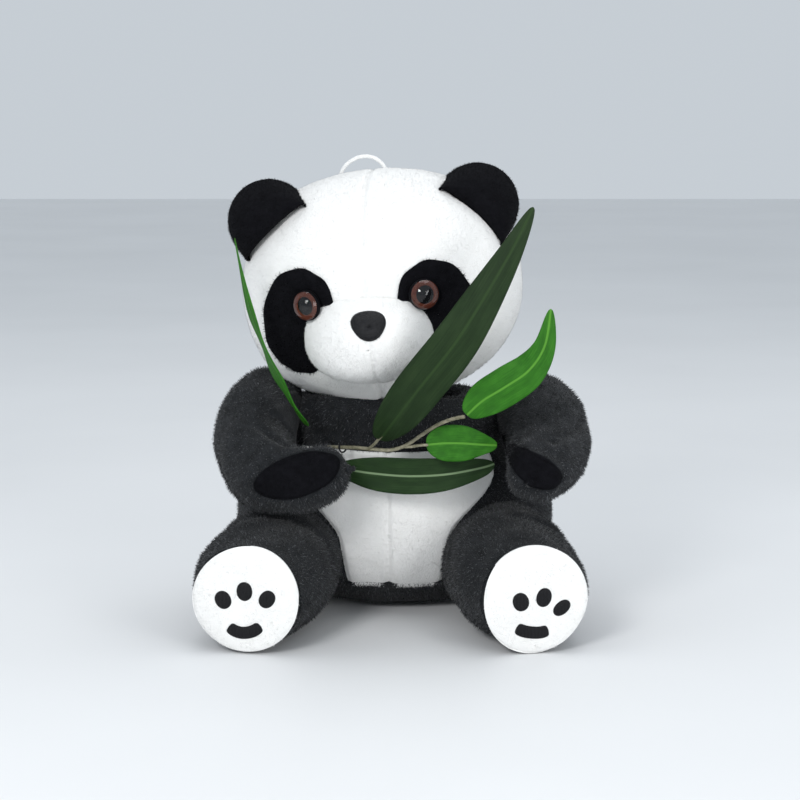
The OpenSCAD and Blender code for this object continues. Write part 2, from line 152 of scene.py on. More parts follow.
def to_line(p, route):
    """Distance of each point from a line of listed points."""
    best = np.full(p.shape[:-1], 1e9)
    for a, b in zip(np.array(route[:-1], float), np.array(route[1:], float)):
        t = np.clip(((p - a) @ (b - a)) / ((b - a) @ (b - a)), 0, 1)
        best = np.minimum(best, np.linalg.norm(p - a - t[..., None] * (b - a), axis=-1))
    return best


def normals_of(grid, inside, wrap=False):
    """Unit normals of a grid of points, facing away from a point inside the shape."""
    if wrap:
        padded = np.concatenate([grid[:, -1:], grid, grid[:, :1]], 1)
        across = (padded[:, 2:] - padded[:, :-2]) / 2
    else:
        across = np.gradient(grid, axis=1)
    n = unit(np.cross(np.gradient(grid, axis=0), across))
    n[np.linalg.norm(n, axis=-1) < 0.5] = 0
    away = unit(grid - np.asarray(inside, float))
    n = np.where(((n * away).sum(-1) < 0)[..., None], -n, n)
    flat = np.linalg.norm(n, axis=-1) < 0.5
    n[flat] = away[flat]
    return n


# ---- Materials ----
def shader(name, colour, roughness, **sockets):
    """A Principled material with plain values on its own sockets, and its node tree."""
    mat = bpy.data.materials.new(name)
    mat.use_nodes = True
    nodes = mat.node_tree.nodes
    p = nodes["Principled BSDF"]
    p.inputs["Base Color"].default_value = (*colour, 1)
    p.inputs["Roughness"].default_value = roughness
    for key, value in sockets.items():
        p.inputs[key.replace("_", " ")].default_value = value
    mat.diffuse_color = (*colour, 1)
    return mat


def node(mat, kind, **values):
    n = mat.node_tree.nodes.new("ShaderNode" + kind)
    for key, value in values.items():
        if hasattr(n, key):
            setattr(n, key, value)
        else:
            n.inputs[key.replace("_", " ")].default_value = value
    return n


def place(mat, stretch=(1, 1, 1), attribute=None):
    """Coordinates in the piece's own space, or from a named attribute, scaled along each axis."""
    if attribute:
        source = node(mat, "Attribute", attribute_name=attribute).outputs["Vector"]
    else:
        source = node(mat, "TexCoord").outputs["Object"]
    mapping = node(mat, "Mapping", Scale=stretch)
    mat.node_tree.links.new(source, mapping.inputs["Vector"])
    return mapping.outputs["Vector"]


def tones(mat, factor, stops):
    """Feeds the base colour from a ramp of (position, colour) stops driven by a factor."""
    ramp = node(mat, "ValToRGB")
    elements = ramp.color_ramp.elements
    while len(elements) < len(stops):
        elements.new(0.5)
    for element, (position, colour) in zip(elements, stops):
        element.position = position
        element.color = (*colour, 1)
    mat.node_tree.links.new(factor, ramp.inputs["Fac"])
    mat.node_tree.links.new(ramp.outputs["Color"],
                            mat.node_tree.nodes["Principled BSDF"].inputs["Base Color"])
    return ramp.outputs["Color"]


def relief(mat, heights):
    """Bump from (height output, distance in metres, strength) layers, one on another."""
    links = mat.node_tree.links
    below = None
    for height, distance, strength in heights:
        bump = node(mat, "Bump", Distance=distance, Strength=strength)
        links.new(height, bump.inputs["Height"])
        if below:
            links.new(below, bump.inputs["Normal"])
        below = bump.outputs["Normal"]
    links.new(below, mat.node_tree.nodes["Principled BSDF"].inputs["Normal"])


def noise(mat, vector, scale, detail=2.0, roughness=0.5):
    n = node(mat, "TexNoise", Scale=scale, Detail=detail, Roughness=roughness)
    mat.node_tree.links.new(vector, n.inputs["Vector"])
    return n.outputs["Fac"]


def cells(mat, vector, scale):
    n = node(mat, "TexVoronoi", Scale=scale)
    mat.node_tree.links.new(vector, n.inputs["Vector"])
    return n.outputs["Distance"]


def plush(name, tone_stops, sheen, nap):
    """Woven backing of a plush: its colour drifts over the cloth, and short nap shows as fine relief."""
    mat = shader(name, tone_stops[0][1], 0.92, Sheen_Weight=sheen, Sheen_Roughness=0.45,
                 Specular_IOR_Level=0.06)
    at = place(mat)
    tones(mat, noise(mat, at, 190, 5, 0.65), tone_stops)
    relief(mat, [(noise(mat, at, 900, 3, 0.6), nap, 0.8), (cells(mat, at, 1500), nap * 0.6, 0.5)])
    return mat


def pile_tones(name, colours, sheen, specular):
    """Plain fibre materials, one for each tone of a pile."""
    return [shader(f"{name}_{i}", colour, 0.7, Sheen_Weight=sheen, Specular_IOR_Level=specular)
            for i, colour in enumerate(colours)]


WHITE = [(0.3, (0.83, 0.825, 0.805)), (0.7, (0.87, 0.865, 0.85))]
BLACK = [(0.3, (0.009, 0.01, 0.011)), (0.75, (0.026, 0.028, 0.031))]
JET = [(0.3, (0.003, 0.003, 0.004)), (0.8, (0.007, 0.007, 0.009))]
white_cloth = plush("white_plush", WHITE, 0.3, 0.0004)
black_cloth = plush("black_plush", BLACK, 0.12, 0.0006)
jet_cloth = plush("jet_plush", JET, 0.0, 0.0004)
white_pile = pile_tones("white_pile", [(0.84, 0.835, 0.82), (0.865, 0.86, 0.845), (0.89, 0.885, 0.87)],
                        0.1, 0.1)
# The last black-pile tone, a pale grey, is painted sheen: fibres coloured light to stand in for glints of light
# on the black pile.
black_pile = pile_tones("black_pile", [(0.008, 0.009, 0.01), (0.018, 0.019, 0.022), (0.04, 0.042, 0.046),
                                       (0.13, 0.136, 0.145)], 0.12, 0.35)
jet_pile = pile_tones("jet_pile", [(0.003, 0.003, 0.004), (0.006, 0.006, 0.007), (0.012, 0.012, 0.014)],
                      0.0, 0.06)


def filling_material():
    mat = shader("fibre_filling", (0.85, 0.84, 0.8), 0.95, Sheen_Weight=0.4)
    at = place(mat)
    tones(mat, noise(mat, at, 120, 6, 0.7), [(0.3, (0.72, 0.7, 0.65)), (0.7, (0.9, 0.89, 0.86))])
    relief(mat, [(noise(mat, at, 260, 8, 0.75), 0.002, 0.9)])
    return mat


def nose_material():
    mat = shader("nose_cloth", (0.012, 0.012, 0.014), 0.5, Sheen_Weight=0.03, Sheen_Roughness=0.4,
                 Specular_IOR_Level=0.22)
    at = place(mat, (1, 1, 2.2))
    tones(mat, noise(mat, at, 700, 4, 0.7), [(0.35, (0.004, 0.004, 0.005)), (0.75, (0.014, 0.014, 0.016))])
    relief(mat, [(noise(mat, at, 1600, 3, 0.6), 0.0003, 0.7)])
    return mat


def thread_material(name, colour, ridge_scale, direction):
    """Satin stitches: fine parallel threads with a silky gloss, part of it painted: each thread's colour
    lightens to twice its black on the crests of its relief, a painted sheen.
    """
    mat = shader(name, colour, 0.5, Specular_IOR_Level=0.15)
    at = place(mat, direction)
    wave = node(mat, "TexWave", Scale=ridge_scale, Distortion=0.6, Detail=1.0)
    mat.node_tree.links.new(at, wave.inputs["Vector"])
    # Twice the thread's black, laid on where the wave relief rises, is painted sheen on the thread crests.
    crest_sheen = tuple(c * 2 for c in colour)
    tones(mat, wave.outputs["Fac"], [(0.2, colour), (0.9, crest_sheen)])
    relief(mat, [(wave.outputs["Fac"], 0.0003, 0.8)])
    return mat


def leaf_material(name, shade, middle, light, rib):
    """Printed cloth leaf: long veins, a rib band and soft patches; the rib colour is the midrib's own paler
    tone, and on leaf D also a painted highlight along the rib. The leaf attribute holds across, along, 0.
    """
    mat = shader(name, middle, 0.5, Specular_IOR_Level=0.15)
    links = mat.node_tree.links
    along = place(mat, (26, 2.2, 1), "leaf")
    veins = noise(mat, along, 1.6, 4, 0.6)
    patches = noise(mat, place(mat, (1.5, 5, 1), "leaf"), 1.4, 3, 0.5)
    mix = node(mat, "Math", operation="MULTIPLY_ADD")
    mix.inputs[1].default_value = 0.55
    links.new(veins, mix.inputs[0])
    half = node(mat, "Math", operation="MULTIPLY")
    half.inputs[1].default_value = 0.45
    links.new(patches, half.inputs[0])
    links.new(half.outputs[0], mix.inputs[2])
    green = tones(mat, mix.outputs[0], [(0.3, shade), (0.5, middle), (0.72, light)])
    across = node(mat, "SeparateXYZ")
    links.new(node(mat, "Attribute", attribute_name="leaf").outputs["Vector"], across.inputs[0])
    near = node(mat, "Math", operation="ABSOLUTE")
    links.new(across.outputs["X"], near.inputs[0])
    # A band along the middle takes the rib colour: the midrib's own tone, and on leaf D a painted highlight
    # along the rib.
    band = node(mat, "MapRange", From_Min=0.03, From_Max=0.075, To_Min=1.0, To_Max=0.0)
    links.new(near.outputs[0], band.inputs["Value"])
    ribbed = node(mat, "Mix", data_type="RGBA")
    links.new(band.outputs["Result"], ribbed.inputs["Factor"])
    links.new(green, ribbed.inputs[6])
    ribbed.inputs[7].default_value = (*rib, 1)
    links.new(ribbed.outputs[2], mat.node_tree.nodes["Principled BSDF"].inputs["Base Color"])
    relief(mat, [(veins, 0.0005, 0.55), (noise(mat, place(mat), 2500, 2), 0.0001, 0.4)])
    return mat


def stem_material():
    mat = shader("wrapped_wire", (0.16, 0.15, 0.1), 0.5)
    at = place(mat)
    tones(mat, noise(mat, at, 420, 4, 0.6), [(0.3, (0.1, 0.095, 0.05)), (0.7, (0.3, 0.28, 0.2))])
    relief(mat, [(noise(mat, at, 1100, 2), 0.0003, 0.6)])
    return mat


def iris_material():
    """Brown ring with darker rays and rim; the ring attribute holds the radius and the angle."""
    mat = shader("iris", (0.16, 0.04, 0.018), 0.6, Specular_IOR_Level=0.1)
    rays = noise(mat, place(mat, (2.2, 5.5, 1), "ring"), 2.6, 5, 0.7)
    tones(mat, rays, [(0.3, (0.035, 0.008, 0.005)), (0.5, (0.09, 0.022, 0.012)),
                      (0.75, (0.15, 0.045, 0.022))])
    relief(mat, [(rays, 0.0002, 0.5)])
    return mat


def clear_material():
    """Clear gloss: lets everything through except what its front face reflects."""
    mat = shader("clear_plastic", (1, 1, 1), 0.03)
    links = mat.node_tree.links
    mix, outward = node(mat, "MixShader"), node(mat, "Math", operation="SUBTRACT")
    outward.inputs[0].default_value = 1.0
    links.new(node(mat, "NewGeometry").outputs["Backfacing"], outward.inputs[1])
    share = node(mat, "Math", operation="MULTIPLY")
    links.new(outward.outputs[0], share.inputs[0])
    links.new(node(mat, "Fresnel", IOR=1.5).outputs[0], share.inputs[1])
    links.new(share.outputs[0], mix.inputs[0])
    links.new(node(mat, "BsdfTransparent").outputs[0], mix.inputs[1])
    links.new(node(mat, "BsdfGlossy", Roughness=0.03).outputs[0], mix.inputs[2])
    links.new(mix.outputs[0], mat.node_tree.nodes["Material Output"].inputs["Surface"])
    return mat


def loop_material():
    mat = shader("elastic_cord", (0.86, 0.86, 0.85), 0.6, Sheen_Weight=0.2)
    at = place(mat)
    tones(mat, noise(mat, at, 500, 3), [(0.3, (0.78, 0.78, 0.77)), (0.7, (0.9, 0.9, 0.89))])
    relief(mat, [(cells(mat, at, 1400), 0.0005, 0.8)])
    return mat


def floor_material():
    mat = shader("pale_floor", (0.8, 0.8, 0.8), 0.6)
    tones(mat, noise(mat, place(mat), 3, 3), [(0.3, (0.78, 0.785, 0.79)), (0.7, (0.82, 0.825, 0.83))])
    return mat


filling = filling_material()
nose_cloth = nose_material()
black_thread = thread_material("black_thread", (0.008, 0.008, 0.009), 420, (1, 0.2, 0.35))
dark_leaf = leaf_material("dark_leaf", (0.006, 0.015, 0.004), (0.012, 0.029, 0.008), (0.026, 0.05, 0.016),
                          (0.022, 0.048, 0.013))
# Leaf D's rib colour, far paler than its green, is a painted highlight along the rib.
rib_highlight_leaf = leaf_material("rib_highlight_leaf", (0.006, 0.018, 0.005), (0.012, 0.033, 0.008),
                            (0.026, 0.058, 0.017), (0.18, 0.26, 0.14))
bright_leaf = leaf_material("bright_leaf", (0.012, 0.07, 0.005), (0.024, 0.135, 0.008), (0.05, 0.21, 0.018),
                            (0.09, 0.28, 0.03))
wire = stem_material()
iris_brown = iris_material()
elastic = loop_material()
pupil_black = shader("pupil_black", (0.003, 0.003, 0.004), 0.5, Specular_IOR_Level=0.05)
clear_plastic = clear_material()
washer_plastic = shader("washer_plastic", (0.7, 0.69, 0.64), 0.5)
tones(washer_plastic, noise(washer_plastic, place(washer_plastic), 300),
      [(0.3, (0.66, 0.65, 0.6)), (0.7, (0.74, 0.73, 0.68))])


# ---- Meshes ----
def link(obj):
    bpy.context.scene.collection.objects.link(obj)
    return obj


def grid_faces(rows, cols, wrap=False):
    i, j = np.meshgrid(np.arange(rows - 1), np.arange(cols if wrap else cols - 1), indexing="ij")
    k = (j + 1) % cols
    return np.stack([i * cols + j, (i + 1) * cols + j, (i + 1) * cols + k, i * cols + k], -1).reshape(-1, 4)


def rim_faces(edge, n):
    """Faces between an open edge of the outer grid and the same edge of the inner one."""
    edge = np.asarray(edge)
    return np.stack([edge[:-1], edge[:-1] + n, edge[1:] + n, edge[1:]], -1)


def shell_faces(rows, cols, wrap=False):
    """Faces of a closed skin: an outer grid of points, the same grid again under it, and its rims."""
    n = rows * cols
    face = grid_faces(rows, cols, wrap)
    ring = np.arange(cols + 1) % cols if wrap else np.arange(cols)
    rims = [rim_faces(ring, n), rim_faces(ring + (rows - 1) * cols, n)]
    if not wrap:
        rims += [rim_faces(np.arange(rows) * cols, n), rim_faces(np.arange(rows) * cols + cols - 1, n)]
    return np.concatenate([face, face[:, ::-1] + n, *rims])


def joined(parts):
    """One array of points and one of faces from several (points, faces) pairs."""
    starts = np.cumsum([0] + [len(points) for points, _ in parts[:-1]])
    return (np.concatenate([points for points, _ in parts]),
            np.concatenate([faces + start for (_, faces), start in zip(parts, starts)]))


def disc(rings, spokes):
    """Shares of the radius from a disc's rim to its middle, and the angles round it."""
    return (np.sin(np.linspace(math.pi / 2, 0.01, rings))[:, None],
            np.linspace(0, 2 * math.pi, spokes, endpoint=False)[None])


def piece(name, points, faces, mats, body=None, slot=None, pick=None, tidy=True):
    """A smooth mesh object from points in millimetres. Doubled points are joined and normals face out."""
    mesh = bpy.data.meshes.new(name)
    faces = np.asarray(faces)
    sides = faces.shape[1]
    mesh.vertices.add(len(points))
    mesh.vertices.foreach_set("co", (np.asarray(points) * MM).astype(np.float32).ravel())
    mesh.loops.add(faces.size)
    mesh.loops.foreach_set("vertex_index", faces.astype(np.int32).ravel())
    mesh.polygons.add(len(faces))
    mesh.polygons.foreach_set("loop_start", np.arange(0, faces.size, sides, dtype=np.int32))
    if pick is not None:
        mesh.polygons.foreach_set("material_index", pick.astype(np.int32))
    mesh.update(calc_edges=True)
    if tidy:
        bm = bmesh.new()
        bm.from_mesh(mesh)
        bmesh.ops.remove_doubles(bm, verts=bm.verts, dist=1e-6)
        bmesh.ops.recalc_face_normals(bm, faces=bm.faces)
        bm.to_mesh(mesh)
        bm.free()
    mesh.shade_smooth()
    for mat in mats:
        mesh.materials.append(mat)
    obj = link(bpy.data.objects.new(name, mesh))
    if body:
        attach(obj, body)
    return obj


def cloth_shell(name, outer, inside, mat, wrap=False, thick=CLOTH * 0.5, **more):
    """A closed skin of cloth whose outer face is a grid of points."""
    inner = outer - thick * normals_of(outer, inside, wrap)
    return piece(name, np.concatenate([outer.reshape(-1, 3), inner.reshape(-1, 3)]),
                 shell_faces(*outer.shape[:2], wrap), [mat], **more)


def solid(name, rings, mat, **more):
    """A closed solid whose rows are rings; the first and last ring shrink to a point."""
    ends = [np.repeat(rings[k:k + 1].mean(1, keepdims=True), rings.shape[1], 1) for k in (0, -1)]
    rings = np.concatenate([ends[0], rings, ends[1]]) if rings.ndim == 3 else rings
    return piece(name, rings.reshape(-1, 3), grid_faces(*rings.shape[:2], True), [mat], **more)


class Pile:
    """How a plush's fibres look: how many to a square millimetre, how long and how they lie."""

    def __init__(self, mats, shares, density, length, width, lie, ruffle):
        self.mats, self.shares, self.density = mats, shares, density
        self.length, self.width, self.lie, self.ruffle = length, width, lie, ruffle


PILES = {
    "white": Pile(white_pile, (0.3, 0.4, 0.3), 0.8, 0.95, 0.22, 1.3, 0.2),
    # In the black pile the last share, 0.12, goes to the pale grey tone that is painted sheen.
    "black": Pile(black_pile, (0.36, 0.3, 0.22, 0.12), 0.85, 1.9, 0.2, 0.7, 0.45),
    "jet": Pile(jet_pile, (0.4, 0.4, 0.2), 0.8, 1.7, 0.2, 0.6, 0.4),
    "velvet": Pile(jet_pile, (0.4, 0.4, 0.2), 0.8, 1.0, 0.18, 0.4, 0.3)}


ROOT_DEPTH, FLOOR_GAP = 0.35, 0.03


def fibres(name, grid, inside, pile, seed, combed=None, keep=None, wrap=False, scale=1.0, body=None,
           slot=None):
    """Short tapered fibres over a grid of points, each a closed spike with its root under the cloth.

    combed gives the way the pile lies at each root, and keep says which roots are used."""
    rng = np.random.default_rng(seed)
    n = normals_of(grid, inside, wrap)
    if wrap:
        grid = np.concatenate([grid, grid[:, :1]], 1)
        n = np.concatenate([n, n[:, :1]], 1)
    a, b, c, d = (x.reshape(-1, 3) for x in (grid[:-1, :-1], grid[1:, :-1], grid[1:, 1:], grid[:-1, 1:]))
    na, nb, nc, nd = (x.reshape(-1, 3) for x in (n[:-1, :-1], n[1:, :-1], n[1:, 1:], n[:-1, 1:]))
    area = np.linalg.norm(np.cross(c - a, d - b), axis=-1) / 2
    count = int(area.sum() * pile.density)
    at = np.searchsorted(np.cumsum(area), rng.uniform(0, area.sum(), count)).clip(0, len(area) - 1)
    u, v = rng.uniform(size=(2, count, 1))
    root = (a[at] * (1 - u) + b[at] * u) * (1 - v) + (d[at] * (1 - u) + c[at] * u) * v
    out = unit((na[at] * (1 - u) + nb[at] * u) * (1 - v) + (nd[at] * (1 - u) + nc[at] * u) * v)
    lying = combed(root, out) if combed else np.broadcast_to(-UP, root.shape)
    lying = lying - (lying * out).sum(-1, keepdims=True) * out
    tuft = np.stack([lumps(root, 5, seed + k) for k in (1, 2, 3)], -1)
    way = unit(out + pile.lie * lying + pile.ruffle * (0.7 * rng.normal(size=root.shape) + 0.5 * tuft))
    way = unit(way + np.maximum(0, 0.25 - (way * out).sum(-1, keepdims=True)) * out)
    length = pile.length * scale * rng.uniform(0.7, 1.25, (count, 1))
    side = unit(np.cross(way, rng.normal(size=root.shape)))
    third = np.cross(way, side)
    turns = [2 * math.pi * k / 3 for k in range(3)]
    foot = root - ROOT_DEPTH * out
    points = np.stack([foot + pile.width * (math.cos(t) * side + math.sin(t) * third) for t in turns]
                      + [root + length * way], 1)
    points[..., 2] = np.maximum(points[..., 2], FLOOR_GAP)
    pick = rng.choice(len(pile.mats), count, p=pile.shares)
    if keep is not None:
        used = keep(root)
        points, pick = points[used], pick[used]
    start = np.arange(len(points))[:, None, None] * 4
    faces = start + np.array([[0, 1, 3], [1, 2, 3], [2, 0, 3], [2, 1, 0]])[None]
    return piece(name, points.reshape(-1, 3), faces.reshape(-1, 3), pile.mats, body=body, slot=slot,
                 pick=np.repeat(pick, 4), tidy=False)


def tree_of(obj):
    """A search tree of a piece's surface, in millimetres."""
    mesh = obj.data
    points = np.empty(len(mesh.vertices) * 3)
    mesh.vertices.foreach_get("co", points)
    return BVHTree.FromPolygons((points.reshape(-1, 3) / MM).tolist(),
                                [list(f.vertices) for f in mesh.polygons])


def draped(tree, points, way):
    """Points moved along a direction until they meet a surface, and the surface's normals there.

    A point that misses goes as far as the nearest one that doesn't."""
    flat = points.reshape(-1, 3)
    way = np.asarray(way, float)
    gone, normals = np.full(len(flat), np.nan), np.tile(-way, (len(flat), 1))
    for k, p in enumerate(flat):
        hit, normal, _, far = tree.ray_cast(Vector(p), Vector(way))
        if hit is not None:
            gone[k], normals[k] = far, normal
    met = np.flatnonzero(~np.isnan(gone))
    for k in np.flatnonzero(np.isnan(gone)):
        near = met[np.argmin(np.linalg.norm(flat[met] - flat[k], axis=1))]
        gone[k], normals[k] = gone[near], normals[near]
    found = flat + gone[:, None] * way
    facing = np.where(((normals @ way) > 0)[:, None], -normals, normals)
    return found.reshape(points.shape), facing.reshape(points.shape)


# ---- Camera, hanging loop, floor and lights ----
LENS, SENSOR = 96.75, 36
CAMERA_AT, CAMERA_DOWN = (0.003, -1.19, 0.302), 8.67
LAMPS_AIM = Vector((0, 0, 0.13))
LAMPS = (("key", (-0.5, -1.2, 0.8), 0.38, 8.8), ("fill", (0.8, -1.1, 0.4), 0.6, 5.5),
         ("top", (0.1, 0.35, 1.4), 0.9, 5))


def make_camera():
    data = bpy.data.cameras.new("camera")
    data.lens, data.sensor_width = LENS, SENSOR
    cam = link(bpy.data.objects.new("camera", data))
    cam.location = CAMERA_AT
    cam.rotation_euler = (math.radians(90 - CAMERA_DOWN), 0, 0)
    bpy.context.scene.camera = cam


def make_loop():
    curve = bpy.data.curves.new("hanging_loop_cord", "CURVE")
    curve.dimensions = "3D"
    curve.bevel_depth = LOOP_D / 2 * MM
    curve.bevel_resolution = 6
    curve.use_fill_caps = True
    spline = curve.splines.new("POLY")
    route = through(LOOP_ROUTE, 41) * MM
    spline.points.add(len(route) - 1)
    for point, at in zip(spline.points, route):
        point.co = (*at, 1)
    curve.materials.append(elastic)
    loop = link(bpy.data.objects.new("hanging_loop_cord", curve))
    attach(loop, "head")
    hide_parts("hanging_loop")


def make_stage():
    bpy.ops.mesh.primitive_plane_add(size=8, location=(0, 0, 0))
    floor = bpy.context.object
    floor.name = "floor"
    floor.data.materials.append(floor_material())
    world = bpy.data.worlds.new("studio")
    world.use_nodes = True
    world.node_tree.nodes["Background"].inputs["Color"].default_value = (0.86, 0.93, 1.0, 1)
    world.node_tree.nodes["Background"].inputs["Strength"].default_value = 0.66
    bpy.context.scene.world = world
    bpy.context.scene.view_settings.view_transform = "Standard"
    for name, place_at, size, power in LAMPS:
        data = bpy.data.lights.new(name, "AREA")
        data.size, data.energy = size, power
        lamp = link(bpy.data.objects.new(name, data))
        lamp.location = place_at
        lamp.rotation_euler = (LAMPS_AIM - Vector(place_at)).to_track_quat("-Z", "Y").to_euler()


make_camera()
make_loop()
make_stage()


# ---- Head ----
def head_place(v):
    lean, turn = math.radians(HEAD_LEAN), math.radians(HEAD_TURN)
    leaned = np.stack([v[..., 0] * math.cos(lean) + v[..., 2] * math.sin(lean), v[..., 1],
                       v[..., 2] * math.cos(lean) - v[..., 0] * math.sin(lean)], -1)
    return HEAD_CENTRE + np.stack([leaned[..., 0] * math.cos(turn) - leaned[..., 1] * math.sin(turn),
                                   leaned[..., 0] * math.sin(turn) + leaned[..., 1] * math.cos(turn),
                                   leaned[..., 2]], -1)


def toward(az, el):
    return np.stack([cos_deg(el) * sin_deg(az), -cos_deg(el) * cos_deg(az), sin_deg(el) + 0 * az], -1)


FACE_MIDDLE = -2.6
EYE_AZ_EL = {-1: (-29, -3), 1: (24.6, -1.5)}


def head_radius(d):
    return (np.abs(d / HEAD_HALF) ** HEAD_POWER).sum(-1) ** (-1 / HEAD_POWER)


def eye_local(side):
    d = toward(*(np.float64(a) for a in EYE_AZ_EL[side]))
    return d * head_radius(d)


def eye_dent(p):
    """The cloth is pulled in round each eye, as deep as this at points on the face."""
    return sum(2.2 * bell(np.linalg.norm(p - eye_local(side), axis=-1), 11) for side in (-1, 1))


def head_skin(az, el, out=0.0):
    """Points of the head's cloth in the head's own axes, without its seams."""
    d = toward(az, el)
    p = d * head_radius(d)[..., None]
    cheek = 3.6 * bell(np.linalg.norm(p - np.array([-54, -6, -44.0]), axis=-1), 24)
    chin = 4.6 * bell(np.linalg.norm(p - np.array([-4, -22, -58.0]), axis=-1), 26)
    lift = out - 0.7 + cheek + chin - eye_dent(p) + 0.5 * lumps(p, 30, 5) + 0.18 * lumps(p, 9, 6)
    return p + d * lift[..., None]


def seam(distance, along, depth=1.3, width=1.7):
    """How far the cloth is pulled in beside a seam, with small puckers along it."""
    pucker = 1 + 0.1 * np.sin(along * 2 * math.pi / 4.6) * bell(distance, 3 * width)
    return depth * pucker * bell(distance, width)


def face_base(x, z):
    """Points on the front of the plain head at the given places across and up, in the head's own axes."""
    inside = 1 - np.abs(x / HEAD_HALF[0]) ** HEAD_POWER - np.abs(z / HEAD_HALF[2]) ** HEAD_POWER
    y = -HEAD_HALF[1] * np.maximum(inside, 0.02) ** (1 / HEAD_POWER)
    return np.stack([x, y, z], -1)


def face_out(p):
    """Outward direction of the plain head at points on it."""
    return unit(np.sign(p) * np.abs(p / HEAD_HALF) ** (HEAD_POWER - 1) / HEAD_HALF)


def make_head():
    rows, cols = 120, 84
    el = np.linspace(-88, 90, rows)[:, None]
    spans = {"head_front_left": (-96, FACE_MIDDLE), "head_front_right": (FACE_MIDDLE, 96),
             "head_back_left": (180, 264), "head_back_right": (96, 180)}
    for k, (name, (az0, az1)) in enumerate(spans.items()):
        az = az0 + (az1 - az0) * (1 - np.cos(np.linspace(0, math.pi, cols))) / 2 + 0 * el
        p = head_skin(az, el + 0 * az)
        ring = np.linalg.norm(p[..., :2], axis=-1) * math.pi / 180
        pulled = sum(seam(np.abs(az - edge) * ring, p[..., 2]) for edge in (az0, az1))
        p = p - unit(p) * pulled[..., None]
        grid = head_place(p)
        skin = cloth_shell(name + "_cloth", grid, HEAD_CENTRE, white_cloth, body="head", slot="white_plush")
        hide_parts(name)
        fibres(name + "_pile", grid, HEAD_CENTRE, PILES["white"], 100 + k, head_comb, head_keep,
               body="head", slot="white_plush")
    az = np.linspace(0, 360, 64, endpoint=False)[None]
    rings = head_skin(az + 0 * np.linspace(-84, 84, 48)[:, None],
                      np.linspace(-84, 84, 48)[:, None] + 0 * az,
                      -CLOTH - 1)
    stuffing = solid("head_filling", head_place(rings), filling, body="head", slot="filling")
    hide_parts("head_stuffing")


def head_local(p):
    """Row-frame points in the head's own axes."""
    lean, turn = math.radians(HEAD_LEAN), math.radians(-HEAD_TURN)
    q = p - HEAD_CENTRE
    x, y, z = (q[..., 0] * math.cos(turn) - q[..., 1] * math.sin(turn),
               q[..., 0] * math.sin(turn) + q[..., 1] * math.cos(turn), q[..., 2])
    return np.stack([x * math.cos(lean) - z * math.sin(lean), y, z * math.cos(lean) + x * math.sin(lean)],
                    -1)


def head_comb(root, out):
    """The head's pile lies down and away from the middle of the face."""
    away = root - head_place(np.array([FACE_MIDDLE, -64, 10.0]))
    return unit(unit(away) - 0.8 * UP)


def head_keep(root):
    """No fibres of the head's own cloth where the muzzle, a patch or an eye covers it."""
    q = head_local(root)
    front = q[..., 1] < 0
    covered = muzzle_reach(q[..., 0], q[..., 2]) < 0.93
    for side in (-1, 1):
        covered |= patch_reach(side, q[..., 0], q[..., 2]) < 1.03
    return ~(covered & front)


# The muzzle's outline is a rounded oblong across and up the face; it stands out and a little to the right
MUZZLE_MID, MUZZLE_HALF, MUZZLE_POWER = (-3.1, -24.2), (35.4, 23.3), 2.35
MUZZLE_OUT = 19
MUZZLE_WAY = unit([0.2, -0.97, -0.12])
PATCH_MID = {-1: (-40.1, -13.5), 1: (34.9, -13.5)}
PATCH_HALF, PATCH_POWER, PATCH_TILT = (20.5, 29.4), 2.2, 8.8
NOSE_MID, NOSE_R = (-1.8, -12.9), 8.3


def muzzle_reach(x, z):
    """0 in the middle of the muzzle and 1 at its seam."""
    return ((np.abs(x - MUZZLE_MID[0]) / MUZZLE_HALF[0]) ** MUZZLE_POWER
            + (np.abs(z - MUZZLE_MID[1]) / MUZZLE_HALF[1]) ** MUZZLE_POWER) ** (1 / MUZZLE_POWER)


def patch_axes(side, x, z):
    """Places on a patch measured across and along it, in shares of its half size."""
    dx, dz = x - PATCH_MID[side][0], z - PATCH_MID[side][1]
    c, s = cos_deg(PATCH_TILT), -side * sin_deg(PATCH_TILT)
    return (dx * c - dz * s) / PATCH_HALF[0], (dx * s + dz * c) / PATCH_HALF[1]


def patch_reach(side, x, z):
    across, along = patch_axes(side, x, z)
    return (np.abs(across) ** PATCH_POWER + np.abs(along) ** PATCH_POWER) ** (1 / PATCH_POWER)


def muzzle_point(x, z, out=0.0):
    """Points of the muzzle's cloth in the head's own axes; it swells more steeply at its lower edge."""
    base = face_base(x, z)
    reach = np.minimum(muzzle_reach(x, z), 1)
    up = step(-16, 20, z - MUZZLE_MID[1])
    rise = (1 - reach ** (2.5 - 0.5 * up)) ** (0.58 + 0.55 * up)
    crease = 0.9 * bell(x - NOSE_MID[0] - 0.5, 1.3) * step(-6, -12, z - NOSE_MID[1]) * step(1, 0.85, reach)
    pucker = 1 + 0.15 * np.sin(z * 2 * math.pi / 3.4)
    lift = MUZZLE_OUT * rise + out - 0.4 - crease * pucker + 0.25 * lumps(base, 9, 8)
    return base + lift[..., None] * unit(0.45 * face_out(base) + 0.75 * MUZZLE_WAY)


def superellipse(rings, spokes, half, power):
    """Grid of places in a rounded oblong, ring by ring from its rim to its middle."""
    k, a = disc(rings, spokes)
    c, s = np.cos(a), np.sin(a)
    r = (np.abs(c) ** power + np.abs(s) ** power) ** (-1 / power)
    return half[0] * k * r * c, half[1] * k * r * s


